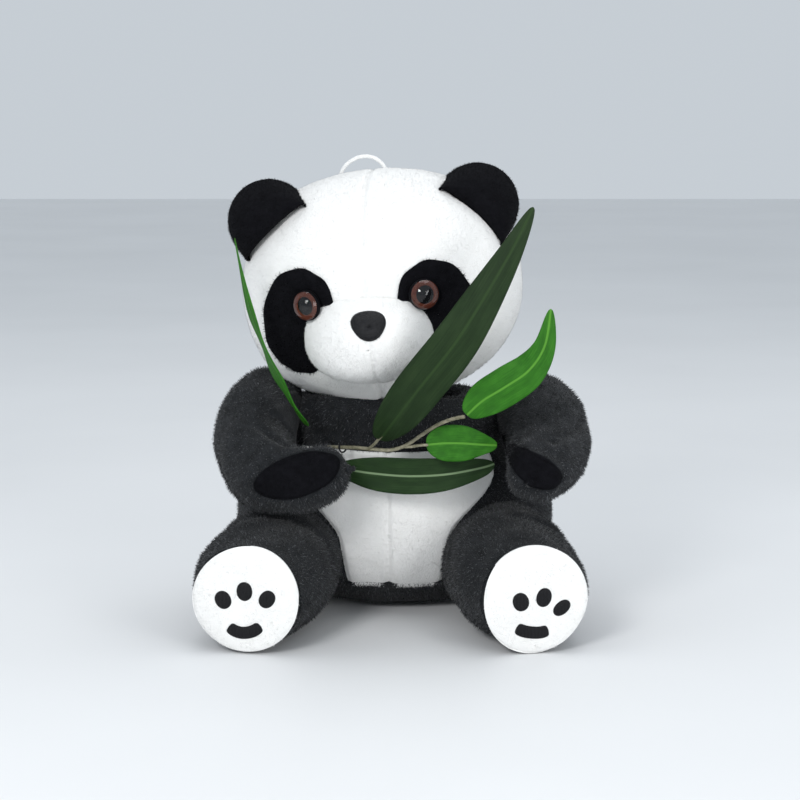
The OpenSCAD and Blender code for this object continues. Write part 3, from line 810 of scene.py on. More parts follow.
def make_muzzle():
    x, z = superellipse(60, 140, MUZZLE_HALF, MUZZLE_POWER)
    x, z = x + MUZZLE_MID[0], z + MUZZLE_MID[1]
    inside = head_place(np.array([-3.0, -40, -24]))
    grid = head_place(muzzle_point(x, z))
    cover = cloth_shell("muzzle_cloth", grid, inside, white_cloth, wrap=True, body="head",
                        slot="white_plush")
    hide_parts("muzzle_cover")

    def comb(root, out):
        away = root - head_place(np.array([NOSE_MID[0] + 3, -84, NOSE_MID[1]]))
        return unit(unit(away) - 0.3 * UP)

    def keep(root):
        q = head_local(root)
        nose = np.hypot(q[..., 0] - NOSE_MID[0] - 3.8, q[..., 2] - NOSE_MID[1] + 2.4) < 8.2
        return ~nose

    fibres("muzzle_pile", grid, inside, PILES["white"], 120, comb, keep, wrap=True, body="head",
           slot="white_plush")
    core = solid("muzzle_filling", head_place(np.concatenate([muzzle_point(x, z, -2.2)[::3],
                                                              face_base(x, z)[::-6]])),
                 filling, body="head", slot="filling")
    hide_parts("muzzle_padding")


def make_nose():
    """A rounded triangle of short-napped cloth, dimpled where a stitch pulls it in."""
    k, a = disc(26, 72)
    r = NOSE_R * (1 + 0.07 * np.sin(3 * a) - 0.015 * np.cos(2 * a))
    x = NOSE_MID[0] + k * r * np.cos(a) * 1.1
    z = NOSE_MID[1] + k * r * np.sin(a) * 0.77
    rise = 4.2 * np.sqrt(np.maximum(0, 1 - k ** 2.6)) - 1.3 * bell(k * r, 1.3) + 0 * a
    hem = 0.35 * bell(k - 0.88, 0.035) * (0.7 + 0.3 * np.sin(24 * a))
    inside = head_place(np.array([0.0, -60, -14]))
    grid = head_place(muzzle_point(x, z) + ((rise - hem - 0.5)[..., None]) * MUZZLE_WAY)
    nose = cloth_shell("nose_cloth", grid, inside, nose_cloth, wrap=True, body="head", slot="jet_plush")
    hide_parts("nose")
    short = Pile(jet_pile, (0.3, 0.4, 0.3), 1.6, 0.5, 0.16, 1.2, 0.5)
    fibres("nose_pile", grid, inside, short, 130, wrap=True, body="head", slot="jet_plush")


def make_patch(side, word):
    rings, spokes = 34, 110
    across, along = superellipse(rings, spokes, PATCH_HALF, PATCH_POWER)
    ragged = 1 + 0.012 * np.sin(np.arange(spokes) * 2 * math.pi * 9 / spokes)
    c, s = cos_deg(PATCH_TILT), -side * sin_deg(PATCH_TILT)
    x = PATCH_MID[side][0] + (across * c + along * s) * ragged
    z = PATCH_MID[side][1] + (-across * s + along * c) * ragged
    base = face_base(x, z)
    k = patch_reach(side, x, z)
    lift = (1.1 * (1 - step(0.86, 1.02, k)) - eye_dent(base) + 0.1 + 0.5 * lumps(base, 30, 5)
            + 0.2 * lumps(base, 7, 11))
    grid = head_place(base + face_out(base) * lift[..., None])
    inside = head_place(np.array([FACE_MIDDLE, -10.0, 0]))
    patch = cloth_shell(f"eye_patch_{word}_cloth", grid, inside, jet_cloth, wrap=True, thick=1.2,
                        body="head", slot="jet_plush")
    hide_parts("eye_patch_" + word)
    middle = head_place(face_base(*(np.array(v) for v in PATCH_MID[side])) + np.array([0, 0, -6.0]))
    eye = head_place(eye_local(side))

    def comb(root, out):
        return unit(unit(root - middle) + 0.35 * UP)

    def keep(root):
        q = head_local(root)
        clear = muzzle_reach(q[..., 0], q[..., 2]) > 0.9
        return (np.linalg.norm(root - eye, axis=-1) > 7) & clear

    fibres(f"eye_patch_{word}_pile", grid, inside, PILES["jet"], 140 + side, comb, keep, wrap=True,
           body="head", slot="jet_plush")


def turned_piece(name, profile, at, way, mat, spokes=64, **more):
    """A piece turned about an axis: profile is a list of (radius, height) from one end to the other."""
    r, h = np.array(profile, float).T
    side = unit(np.cross(way, [0.3, 0.1, 1]))
    third = np.cross(way, side)
    a = np.linspace(0, 2 * math.pi, spokes, endpoint=False)
    ring = np.cos(a)[:, None] * side + np.sin(a)[:, None] * third
    points = at + h[:, None, None] * way + r[:, None, None] * ring
    return piece(name, points.reshape(-1, 3), grid_faces(len(r), spokes, True), [mat], **more)


def make_eye(side, word):
    """A safety eye: a black base on a stalk, a brown ring, a clear dome and the washer behind the cloth."""
    local = eye_local(side)
    way = head_place(unit(local)) - HEAD_CENTRE
    at = head_place(local) + way * CLOTH
    r = EYE_D / 2
    stalk, rise = 2.3, EYE_D * 0.3
    base = turned_piece(f"eye_{word}_base", [(0, -13), (stalk, -12.4), (stalk, -2.4), (r - 1.2, -2.2),
                                             (r, -1.6), (r + 0.25, -0.4), (r + 0.2, 1.1),
                                             (r - 0.35, 1.25), (0, 1.2)],
                        at, way, pupil_black, body="head", slot="eye_black")
    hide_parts("eye_base_" + word)
    inner, outer = r * 0.62, r - 0.4
    ring = turned_piece(f"eye_{word}_iris", [(inner, 1.25), (outer, 1.25), (outer, 1.6), (inner + 1, 1.75),
                                             (inner, 1.7), (inner, 1.25)],
                        at, way, iris_brown, body="head", slot="eye_brown")
    points = np.array([v.co for v in ring.data.vertices]) / MM - at
    flat = points - (points @ way)[:, None] * way
    first = unit(np.cross(way, [0.3, 0.1, 1]))
    angle = np.arctan2(flat @ np.cross(way, first), flat @ first)
    radius = np.linalg.norm(flat, axis=1) / r
    values = np.stack([radius, np.cos(angle) * 2, np.sin(angle) * 2], -1).astype(np.float32)
    ring.data.attributes.new("ring", "FLOAT_VECTOR", "POINT").data.foreach_set("vector", values.ravel())
    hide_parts("eye_iris_" + word)
    ball = (r * r + rise * rise) / (2 * rise)
    dome_line = [(0, 1.85), (r * 0.5, 1.85), (r, 1.85)] + [
        (math.sqrt(max(0.0, ball ** 2 - (ball - rise + h) ** 2)), 1.85 + h)
        for h in np.linspace(0.05, rise, 18)]
    dome = turned_piece(f"eye_{word}_dome", dome_line, at, way, clear_plastic, body="head",
                        slot="eye_clear")
    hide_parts("eye_dome_" + word)
    washer = turned_piece(f"eye_{word}_washer",
                          [(stalk, -11.2), (6.1, -11.2), (6.5, -10.9), (6.5, -10), (6.1, -9.7),
                           (stalk, -9.7), (stalk, -11.2)],
                          at, way, washer_plastic, body="head", slot="washer")
    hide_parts("eye_washer_" + word)


# ---- Ears ----
EAR_MID = {-1: np.array([-69, 4, 221.0]), 1: np.array([45.5, 4, 230.0])}
EAR_TILT = {-1: -44, 1: 42}
EAR_R = 22.9
EAR_ROOT_UP, EAR_ROOT_HALF = 1.5, 23


def on_head(p):
    """How far the plain head reaches forward of its middle at row-frame points; 0 outside its outline."""
    q = head_local(p)
    inside = (1 - np.abs(q[..., 0] / HEAD_HALF[0]) ** HEAD_POWER
              - np.abs(q[..., 2] / HEAD_HALF[2]) ** HEAD_POWER)
    return HEAD_HALF[1] * np.maximum(inside, 0.0) ** (1 / HEAD_POWER)


def make_ear(side, word):
    """Two velvet cloths over batting; the root runs forward over the corner of the head."""
    tilt = EAR_TILT[side]
    across = np.array([cos_deg(tilt), 0, -sin_deg(tilt)])
    out = np.array([sin_deg(tilt), 0, cos_deg(tilt)])
    spokes, rings = 90, 46
    a = np.radians(np.linspace(-28, 208, spokes))[None]
    t = np.linspace(0, 1, rings)[:, None]
    arc_x, arc_z = EAR_R * np.cos(a), EAR_R * np.sin(a)
    round_share = (a - a.min()) / (a.max() - a.min())
    root_x = EAR_ROOT_HALF * np.cos(round_share * math.pi)
    root_z = EAR_ROOT_UP - 9 + 3.5 * np.sqrt(np.maximum(0, 1 - (root_x / (EAR_ROOT_HALF + 0.5)) ** 2))
    middle = EAR_MID[side]
    depth = np.minimum(on_head(middle + root_x[..., None] * across + root_z[..., None] * out), 32)
    for layer, (name, swell, back) in {"front": ("ear_front_", -1, 0), "back": ("ear_back_", 1, 1),
                                       "batting": ("ear_batting_", 0, 0.5)}.items():
        root_y = -depth + (0 if layer == "front" else np.minimum(2 * depth, 11) * back)
        ease = np.sin(t * math.pi / 2) ** 0.8
        x = root_x + (arc_x - root_x) * ease
        z = root_z + (arc_z - root_z) * ease
        y = (root_y - 4) * (1 - step(0, 1, t)) - 6 * step(0, 1, t)
        puff = (4.6 * (np.maximum(0, 1 - (2 * ease - 1) ** 2)) ** 0.6
                * np.sin(round_share * math.pi) ** 0.5)
        root_roll = 1.6 * bell(t - 0.1, 0.07) * np.sin(round_share * math.pi)
        y = y + swell * (puff + root_roll)
        grid = middle + x[..., None] * across + z[..., None] * out + y[..., None] * np.array([0, 1.0, 0])
        grid = grid + 0.3 * lumps(grid, 9, 20)[..., None] * np.array([0, 1.0, 0])
        inside = middle + out * 4 + np.array([0, 6.0 if swell < 0 else -14.0, 0])
        if layer == "batting":
            wad = solid(name + word + "_wad", np.concatenate([
                grid[4:-10, 12:-12] + np.array([0, 0.6, 0]),
                grid[4:-10, 12:-12][:, ::-1] - np.array([0, 0.6, 0])], 1),
                filling, slot="filling")
            pieces = [wad]
            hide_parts(name + word)
        else:
            skin = cloth_shell(name + word + "_cloth", grid, inside, jet_cloth, thick=0.9, slot="jet_plush")
            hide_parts(name + word)
            nap = fibres(name + word + "_pile", grid, inside, PILES["velvet"],
                         150 + side + 3 * (layer == "back"),
                         lambda root, n: np.broadcast_to(out - UP * 0.3, root.shape), slot="jet_plush")
            pieces = [skin, nap]
        for obj in pieces:
            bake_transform(obj)


# ---- Torso ----
BASE_Z, BELLY_TOP, NECK_Z = 18, 98, 126
BELLY_SEAM = -3.5


def torso_row(z):
    table = through(TORSO_ROWS, 241)
    return [np.interp(z, table[:, 0], table[:, k]) for k in range(1, 5)]


def belly_edge(z):
    """Angle from the front at which the white belly ends, at each height."""
    return 28 + 34 * step(45, BELLY_TOP, z)


def torso_skin(az, z, out=0.0):
    cx, cy, a, b = torso_row(z)
    d = toward(az, 0 * az)
    r = 1 / np.sqrt((d[..., 0] / a) ** 2 + (d[..., 1] / b) ** 2)
    p = np.stack([cx + d[..., 0] * r, cy + d[..., 1] * r, z + 0 * az], -1)
    way = unit(p - np.array([0, 25, 55.0]))
    lift = out - 1.3 + 0.8 * lumps(p, 26, 30) + 0.25 * lumps(p, 9, 31)
    fold = sum(2.4 * bell(to_line(p, line), 2.6) for line in TORSO_FOLDS)
    return p + way * (lift - fold)[..., None]


TORSO_FOLDS = [[(-77, -12, 66), (-83, -8, 52), (-84, -8, 40)], [(77, -12, 67), (81, -8, 50), (82, -8, 40)],
               [(-86, 30, 84), (-70, 20, 92), (-54, 6, 96)], [(88, 30, 84), (72, 20, 92), (56, 6, 96)]]


def tucked(rim):
    """Rows that take the cloth from the torso's top edge into the dish under the neck."""
    flat = rim[:, :2] - NECK_PIVOT[:2]
    rows = []
    for share, sunk in ((0.97, -0.25), (0.92, -0.1), (0.86, 0.3), (0.8, 0.75), (0.74, 1), (0.67, 1),
                        (0.6, 1)):
        at = flat * share
        dish = NECK_PIVOT[2] - np.sqrt((NECK_R + 1.6) ** 2 - (at ** 2).sum(-1))
        rows.append(np.concatenate([at + NECK_PIVOT[:2],
                                    (rim[:, 2] + (dish - rim[:, 2]) * sunk)[:, None]], 1))
    return np.array(rows)


def make_torso():
    middle = np.array([0, 25, 55.0])
    z_low, z_high = BASE_Z - 3, BELLY_TOP
    panels = {
        "belly_left": (lambda z: -belly_edge(z), lambda z: BELLY_SEAM + 0 * z, z_low, z_high, 70, 50,
                       "white"),
        "belly_right": (lambda z: BELLY_SEAM + 0 * z, belly_edge, z_low, z_high, 70, 50, "white"),
        "torso_back_left": (lambda z: -180 + 0 * z, lambda z: -belly_edge(z), z_low, NECK_Z, 80, 110,
                            "black"),
        "torso_back_right": (belly_edge, lambda z: 180 + 0 * z, z_low, NECK_Z, 80, 110, "black"),
        "chest_panel": (lambda z: -belly_edge(z), belly_edge, z_high, NECK_Z, 26, 90, "black")}
    for k, (name, (low, high, z0, z1, rows, cols, colour)) in enumerate(panels.items()):
        z = np.linspace(z0, z1, rows)[:, None]
        az = low(z) + (high(z) - low(z)) * (1 - np.cos(np.linspace(0, math.pi, cols))) / 2
        p = torso_skin(az, z + 0 * az)
        around = np.linalg.norm(p[..., :2] - np.array([0, 27.0]), axis=-1) * math.pi / 180
        pulled = sum(seam(np.abs(az - edge(z)) * around, p[..., 2], 1.2) for edge in (low, high))
        if name.startswith(("belly", "chest")):
            pulled = pulled + seam(np.abs(p[..., 2] - BELLY_TOP), p[..., 0], 1.0)
        grid = p - unit(p - middle) * pulled[..., None]
        if z1 == NECK_Z:
            grid = np.concatenate([grid, tucked(grid[-1])])
        mat = white_cloth if colour == "white" else black_cloth
        skin = cloth_shell(name + "_cloth", grid, middle, mat, body="torso", slot=colour + "_plush")
        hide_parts(name)
        fibres(name + "_pile", grid, middle, PILES[colour], 200 + k, body="torso", slot=colour + "_plush")
    make_base(middle)
    az = np.linspace(-180, 180, 72, endpoint=False)[None]
    z = np.linspace(5, NECK_Z - 8, 40)[:, None]
    sides = torso_skin(az + 0 * z, z + 0 * az, -CLOTH - 1.5)
    far = np.array([30, 24, 16, 8.0])[:, None]
    dish = np.stack([NECK_PIVOT[0] + far * sin_deg(az), NECK_PIVOT[1] - far * cos_deg(az),
                     NECK_PIVOT[2] - np.sqrt((NECK_R + 1) ** 2 - far ** 2) + 0 * az], -1)
    stuffing = solid("torso_filling", np.concatenate([sides, dish]), filling, body="torso", slot="filling")
    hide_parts("torso_stuffing")


def make_base(middle):
    """The black rump under the toy, flat where it rests."""
    az = np.linspace(-180, 180, 160, endpoint=False)[None]
    z = np.array([0.05, 0.6, 2, 4, 6.5, 9, 12, 15, 18])[:, None]
    sides = torso_skin(az + 0 * z, z + 0 * az)
    sides[..., 2] = np.maximum(sides[..., 2], 0.05)
    foot = sides[:1].mean(1, keepdims=True)
    flat = foot + (sides[:1] - foot) * np.linspace(0.02, 0.97, 12)[:, None, None]
    flat[..., 2] = 0.05
    grid = np.concatenate([flat, sides])
    skin = cloth_shell("base_panel_cloth", grid, middle, black_cloth, wrap=True, body="torso",
                       slot="black_plush")
    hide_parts("base_panel")
    fibres("base_panel_pile", sides[3:], middle, PILES["black"], 210, wrap=True, body="torso",
           slot="black_plush")


def make_tail():
    """A small round white tail sewn low on the back."""
    centre = np.array([0, 91, 29.0])
    az = np.linspace(0, 360, 48, endpoint=False)[None]
    el = np.linspace(-88, 88, 30)[:, None]
    d = toward(az + 0 * el, el + 0 * az)
    grid = centre + d * (9.4 + 0.5 * lumps(d * 10, 5, 40))[..., None]
    tail = cloth_shell("tail_cloth", grid, centre, white_cloth, wrap=True, body="torso", slot="white_plush")
    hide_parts("tail")
    fibres("tail_pile", grid, centre, PILES["white"], 215, wrap=True, scale=1.4, body="torso",
           slot="white_plush")


def make_neck():
    """The squeezed filling between head and torso, and the ring of stitches round it."""
    az = np.linspace(0, 360, 64, endpoint=False)[None]
    angle = np.concatenate([np.linspace(2, 27, 12), np.linspace(27, 2, 12)])[:, None]
    r = np.concatenate([np.full(12, 56.0), np.full(12, NECK_R - 0.3)])[:, None]
    rings = NECK_PIVOT + np.stack([r * sin_deg(angle) * sin_deg(az), r * sin_deg(angle) * cos_deg(az),
                                   -r * cos_deg(angle) + 0 * az], -1)
    disc = solid("neck_filling", rings, filling, body="neck", slot="filling")
    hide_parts("neck_stuffing")
    count, around, tube = 44, 8, 0.55
    stitches = []
    for k in range(count):
        a = np.radians(360 * k / count + np.linspace(-2.6, 2.6, 7))
        tilt = np.linspace(27.2, 29.2, 7)
        mid = NECK_PIVOT + 57.8 * np.stack([sin_deg(tilt) * np.sin(a), sin_deg(tilt) * np.cos(a),
                                            -cos_deg(tilt)], -1)
        stitches.append(tube_points(mid, tube * np.sin(np.linspace(0.3, math.pi - 0.3, 7)), around))
    thread = piece("neck_stitches", *joined(stitches), [black_thread], body="neck", slot="thread")
    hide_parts("neck_stitching")
    r = np.linspace(54.5, 60.4, 8)[:, None]
    band = NECK_PIVOT + np.stack([r * sin_deg(27.6) * sin_deg(az), r * sin_deg(27.6) * cos_deg(az),
                                  -r * cos_deg(27.6) + 0 * az], -1)
    collar = cloth_shell("neck_collar_cloth", band, NECK_PIVOT - UP * 50, black_cloth, wrap=True, thick=0.3,
                         body="neck", slot="black_plush")


def tube_points(mid, radii, around):
    """Points and faces of a closed tube along a line of points."""
    t = unit(np.gradient(mid, axis=0))
    s = unit(np.cross(t, [0.21, 1, 0.13]))
    u = np.cross(s, t)
    a = np.linspace(0, 2 * math.pi, around, endpoint=False)
    radii = np.broadcast_to(radii, len(mid))[:, None, None]
    rings = mid[:, None] + radii * (np.cos(a)[:, None] * s[:, None] + np.sin(a)[:, None] * u[:, None])
    rings = np.concatenate([np.repeat(mid[:1, None], around, 1), rings,
                            np.repeat(mid[-1:, None], around, 1)])
    return rings.reshape(-1, 3), grid_faces(len(rings), around, True)


# ---- Limbs ----
def limb_grid(root, root_r, rows, tip, inset=0.0, samples=110, spokes=96, square=2.0):
    """Rings of a limb from the ball at its root, through its stations, to a round or a flat end."""
    rows = np.array(rows, float)
    root = np.array(root, float)
    first, last = unit(rows[0, :3] - root), unit(rows[-1, :3] - rows[-2, :3])
    stations = [(*(root + first * (root_r - inset) * sin_deg(a)), root_r * cos_deg(a), root_r * cos_deg(a),
                 *first) for a in (-89, -66, -44, -22, 0)]
    before = root
    for k, row in enumerate(rows):
        nxt = rows[min(k + 1, len(rows) - 1), :3]
        stations.append((*row, *unit(nxt - before)))
        before = row[:3]
    for a in (24, 46, 66, 82, 90):
        narrow = cos_deg(a) if tip > 9 else (1 - 0.1 * sin_deg(a) if a < 80 else 0.9 * (90 - a) / 90 + 0.8)
        stations.append((*(rows[-1, :3] + last * (tip - inset) * sin_deg(a)), rows[-1, 3] * narrow,
                         rows[-1, 4] * narrow, *last))
    table = through(stations, samples)
    c, rx, rz, t = table[:, :3], table[:, 3] - inset, table[:, 4] - inset, unit(table[:, 5:8])
    s = unit(np.cross(t, UP))
    u = np.cross(s, t)
    a = np.linspace(0, 2 * math.pi, spokes, endpoint=False)
    k = (np.abs(np.cos(a)) ** square + np.abs(np.sin(a)) ** square) ** (-1 / square)
    return (c[:, None] + (np.maximum(rx, 0.3)[:, None] * np.cos(a) * k)[..., None] * s[:, None]
            + (np.maximum(rz, 0.3)[:, None] * np.sin(a) * k)[..., None] * u[:, None]), c


def limb_normals(grid, line):
    """Unit normals of a limb's skin, facing away from its middle line."""
    n = normals_of(grid, line.mean(0), True)
    inward = ((grid - line[:, None]) * n).sum(-1) < 0
    return np.where(inward[..., None], -n, n)


ARM_FOLDS = {
    -1: [[(-50, -44, 124), (-38, -52, 114), (-28, -62, 106)],
         [(-58, -34, 128), (-44, -44, 112), (-36, -50, 100)],
         [(-90, -30, 118), (-72, -50, 112), (-56, -62, 108)]],
    1: [[(64, -30, 130), (66, -50, 118), (62, -62, 108)],
        [(106, -30, 118), (96, -56, 112), (84, -70, 110)]]}
PALM_MID = {-1: np.array([-51.5, -100, 91.5]), 1: np.array([74.5, -110, 96.0])}
PALM_HALF = {-1: (25.5, 11.5), 1: (16, 8.5)}
PALM_TILT = {-1: 19, 1: -27}


def palm_axes(side, p):
    """Places on the palm seen from in front: shares of the pad's half length and half height."""
    dx, dz = p[..., 0] - PALM_MID[side][0], p[..., 2] - PALM_MID[side][2]
    c, s = cos_deg(PALM_TILT[side]), sin_deg(PALM_TILT[side])
    return (dx * c + dz * s) / PALM_HALF[side][0], (dz * c - dx * s) / PALM_HALF[side][1]


def make_arm(side, word):
    grid, line = limb_grid(SHOULDER[side], ARM_ROOT_R, ARM_ROWS[side], 16)
    n = limb_normals(grid, line)
    folds = sum(2.2 * bell(to_line(grid, line_), 2.6) for line_ in ARM_FOLDS[side])
    across, along = palm_axes(side, grid)
    reach = np.hypot(across, along)
    front = step(0.1, 0.4, -n[..., 1])
    palm = front * (1.8 * (1 - step(0.5, 1.0, reach)) + 1.2 * bell(reach - 1, 0.1))
    lift = lumps(grid, 17, 50 + side) + 0.3 * lumps(grid, 7, 52 + side) - 1.8 - folds - palm
    grid = grid + n * lift[..., None]
    arm = "arm_" + word
    skin = cloth_shell(f"arm_cover_{word}_cloth", grid, line[60], black_cloth, wrap=True,
                       slot="black_plush")
    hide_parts("arm_cover_" + word)

    def comb(root, out):
        return np.broadcast_to(unit(line[-20] - line[20]) - 0.5 * UP, root.shape)

    def keep(root):
        a, b = palm_axes(side, root)
        return (np.hypot(a, b) > 0.98) | (root[..., 1] > PALM_BACK[side])

    nap = fibres(f"arm_cover_{word}_pile", grid, line[60], PILES["black"], 300 + side, comb, keep,
                 wrap=True, slot="black_plush")
    core = solid(f"arm_filling_{word}", limb_grid(SHOULDER[side], ARM_ROOT_R, ARM_ROWS[side], 16, CLOTH + 6,
                                                 50, 40)[0], filling, slot="filling")
    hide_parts("arm_stuffing_" + word)
    pad_pieces = make_palm(side, word, tree_of(skin))
    for obj in (skin, nap, core):
        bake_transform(obj)
    for obj in pad_pieces:
        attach(obj, arm)


PALM_BACK = {-1: -50, 1: -70}


def make_palm(side, word, tree):
    """Jet velvet pad let into the palm, a little hollow, with its seam sunk round it."""
    x, z = superellipse(26, 90, PALM_HALF[side], 2.1)
    c, s = cos_deg(PALM_TILT[side]), sin_deg(PALM_TILT[side])
    start = PALM_MID[side] + np.stack([x * c - z * s, 0 * x, x * s + z * c], -1) * 0.99
    found, normal = draped(tree, start, (0, 1, 0))
    reach = np.hypot(x / PALM_HALF[side][0], z / PALM_HALF[side][1])
    grid = found + normal * (0.7 - step(0.86, 1.0, reach))[..., None]
    inside = PALM_MID[side] + np.array([0, 45.0, 0])
    pad = cloth_shell(f"palm_pad_{word}_cloth", grid, inside, jet_cloth, wrap=True, thick=0.9,
                      slot="jet_plush")
    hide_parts("palm_pad_" + word)
    nap = fibres(f"palm_pad_{word}_pile", grid, inside, PILES["velvet"], 320 + side, wrap=True,
                 slot="jet_plush")
    return [pad, nap]


LEG_FOLDS = {
    -1: [[(-96, -40, 50), (-88, -46, 60), (-70, -48, 66), (-55, -48, 64), (-41, -48, 54), (-32, -46, 40)]],
    1: [[(30, -46, 42), (44, -48, 56), (65, -48, 65), (87, -48, 61), (97, -42, 50)]]}


def make_leg(side, word):
    grid, line = limb_grid(HIP[side], LEG_ROOT_R, LEG_ROWS[side], 5, spokes=120)
    n = limb_normals(grid, line)
    folds = sum(4.0 * bell(to_line(grid, line_), 3.2) for line_ in LEG_FOLDS[side])
    lift = 0.9 * lumps(grid, 20, 60 + side) + 0.3 * lumps(grid, 8, 62 + side) - 1.4 - folds
    grid = grid + n * lift[..., None]
    centre, way, _ = sole_axes(side)
    grid = grid - np.maximum(0, (grid - centre) @ way + 1.6)[..., None] * way
    grid[..., 2] = np.maximum(grid[..., 2], 0.1)
    skin = cloth_shell(f"leg_cover_{word}_cloth", grid, line[60], black_cloth, wrap=True,
                       slot="black_plush")
    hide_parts("leg_cover_" + word)

    def comb(root, out):
        return np.broadcast_to(unit(way * 0.8 - UP * 0.6), root.shape)

    def keep(root):
        flat = (root - centre) - ((root - centre) @ way)[..., None] * way
        on_sole = (np.linalg.norm(flat, axis=-1) < SOLE_D / 2 - 0.9) & (root[..., 1] < centre[1] + 12)
        return ~on_sole & (root[..., 2] > 1.0)

    nap = fibres(f"leg_cover_{word}_pile", grid, line[60], PILES["black"], 330 + side, comb, keep,
                 wrap=True, slot="black_plush")
    core = solid(f"leg_filling_{word}", limb_grid(HIP[side], LEG_ROOT_R, LEG_ROWS[side], 5, CLOTH + 5.5,
                                                  50, 48)[0],
                 filling, slot="filling")
    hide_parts("leg_stuffing_" + word)
    for obj in (skin, nap, core):
        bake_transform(obj)
    make_sole(side, word)


def sole_axes(side):
    """Middle of the sole's face, the way it faces and its own right."""
    rows = np.array(LEG_ROWS[side], float)[:, :3]
    way = unit((rows[-1] - rows[-2]) * np.array([1, 1, 0]))
    return rows[-1] + way * 6.4, way, np.cross(way, UP)


SOLE_SHAPE = {-1: ((2, 0.02, 60), (3, 0.012, 200)), 1: ((2, 0.015, 150), (3, 0.015, 20))}


def make_sole(side, word):
    """White sole with an embroidered print of three toes and a curved heel pad."""
    centre, way, right = sole_axes(side)
    k, a = disc(34, 120)
    wobble = sum(size * np.cos(n * a - math.radians(turn)) for n, size, turn in SOLE_SHAPE[side])
    r = SOLE_D / 2 * (1 + wobble) * k
    x, z = r * np.cos(a), r * np.sin(a)

    def bulge(x, z):
        share = np.hypot(x, z) / (SOLE_D / 2)
        flat = np.stack([x, z, 0 * x], -1)
        return 2.6 * np.sqrt(np.maximum(0, 1 - share ** 3.2)) - 0.6 + 0.35 * lumps(flat, 14, 70 + side)

    def at(x, z, lift=0.0):
        return centre - right * x[..., None] + UP * z[..., None] + way * (bulge(x, z) + lift)[..., None]

    grid = at(x, z)
    inside = centre - way * 30
    sole = cloth_shell(f"sole_{word}_cloth", grid, inside, white_cloth, wrap=True, thick=1.2,
                       body="leg_" + word, slot="white_plush")
    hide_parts("sole_" + word)
    fine = Pile(white_pile, (0.3, 0.4, 0.3), 0.9, 1.0, 0.17, 0.7, 0.4)
    toes, arc = PRINTS[side]

    def keep(root):
        q = root - centre
        px, pz = -(q @ right), q[..., 2]
        free = np.ones(len(root), bool)
        for tx, tz, ta, tb, turn in toes:
            c, s = cos_deg(turn), sin_deg(turn)
            u, v = (px - tx) * c + (pz - tz) * s, (pz - tz) * c - (px - tx) * s
            free &= np.hypot(u / ta, v / tb) > 1.08
        line = np.stack([px, pz, 0 * px], -1)
        return free & (to_line(line, [(*p, 0) for p in arc]) > PRINT_BAR)

    fibres(f"sole_{word}_pile", grid, inside, fine, 340 + side, None, keep, wrap=True, body="leg_" + word,
           slot="white_plush")
    parts = []
    for tx, tz, ta, tb, turn in toes:
        u, v = superellipse(12, 44, (ta, tb), 2.1)
        c, s = cos_deg(turn), sin_deg(turn)
        share = np.hypot(u / ta, v / tb)
        ridges = 0.08 * np.sin(v * 2 * math.pi / 0.75) * (share < 0.93)
        puff = 0.9 * np.sqrt(np.maximum(0, 1 - share ** 3)) + ridges
        parts.append(stitched(at(tx + u * c - v * s, tz + u * s + v * c, puff + 0.15), way))
    curve = through([(*p, 0) for p in arc], 40)
    tangent = unit(np.gradient(curve, axis=0))
    normal = np.stack([-tangent[:, 1], tangent[:, 0], 0 * tangent[:, 0]], -1)
    end = np.sqrt(np.clip(1 - (np.abs(np.linspace(-1, 1, 40)) ** 9), 0.02, 1))[:, None]
    width = PRINT_BAR * end * np.sin(np.linspace(-math.pi / 2, math.pi / 2, 15))[None]
    flat = curve[:, None] + width[..., None] * normal[:, None]
    puff = (0.9 * np.sqrt(np.maximum(0, 1 - (np.abs(width) / (PRINT_BAR * end)) ** 3)) * end
            + 0.08 * np.sin(np.arange(40) * 2.4)[:, None] * end)
    parts.append(stitched(at(flat[..., 0], flat[..., 1], puff + 0.15), way, wrap=False))
    prints = piece(f"paw_print_{word}_stitching", *joined(parts), [black_thread], body="leg_" + word,
                   slot="embroidery")
    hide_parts("paw_print_" + word)


def stitched(grid, way, wrap=True):
    """Points and faces of a raised patch of stitches with its underside in the cloth."""
    points = np.concatenate([grid.reshape(-1, 3), (grid - way * STITCH_DEPTH).reshape(-1, 3)])
    return points, shell_faces(*grid.shape[:2], wrap)


STITCH_DEPTH = 0.8
# Embroidered prints: toes as (across, up, half width, half height, turn), and the heel pad's middle line
PRINT_BAR = 3.3
PRINTS = {
    -1: ([(-11.6, -0.4, 4.3, 4.9, 32), (0.0, 4.6, 4.3, 5.0, 0), (12.2, 1.0, 4.1, 5.0, -36)],
         [(-8.6, -14.5), (-5.5, -16.6), (-1.2, -17.6), (4.0, -16.6), (8.6, -13.6)]),
    1: ([(-8.4, -0.6, 4.3, 5.0, 18), (4.0, 1.3, 4.1, 5.1, -14), (13.8, -4.8, 3.6, 5.2, -52)],
        [(-10.6, -14.5), (-6.6, -16.4), (-2.1, -17.4), (2.6, -17.6), (6.8, -16.6)])}


# ---- Bamboo ----
def leaf_half(k, width):
    return width / 2 * (0.05 + 0.95 * np.sin(math.pi * k ** 0.72) ** 0.8)


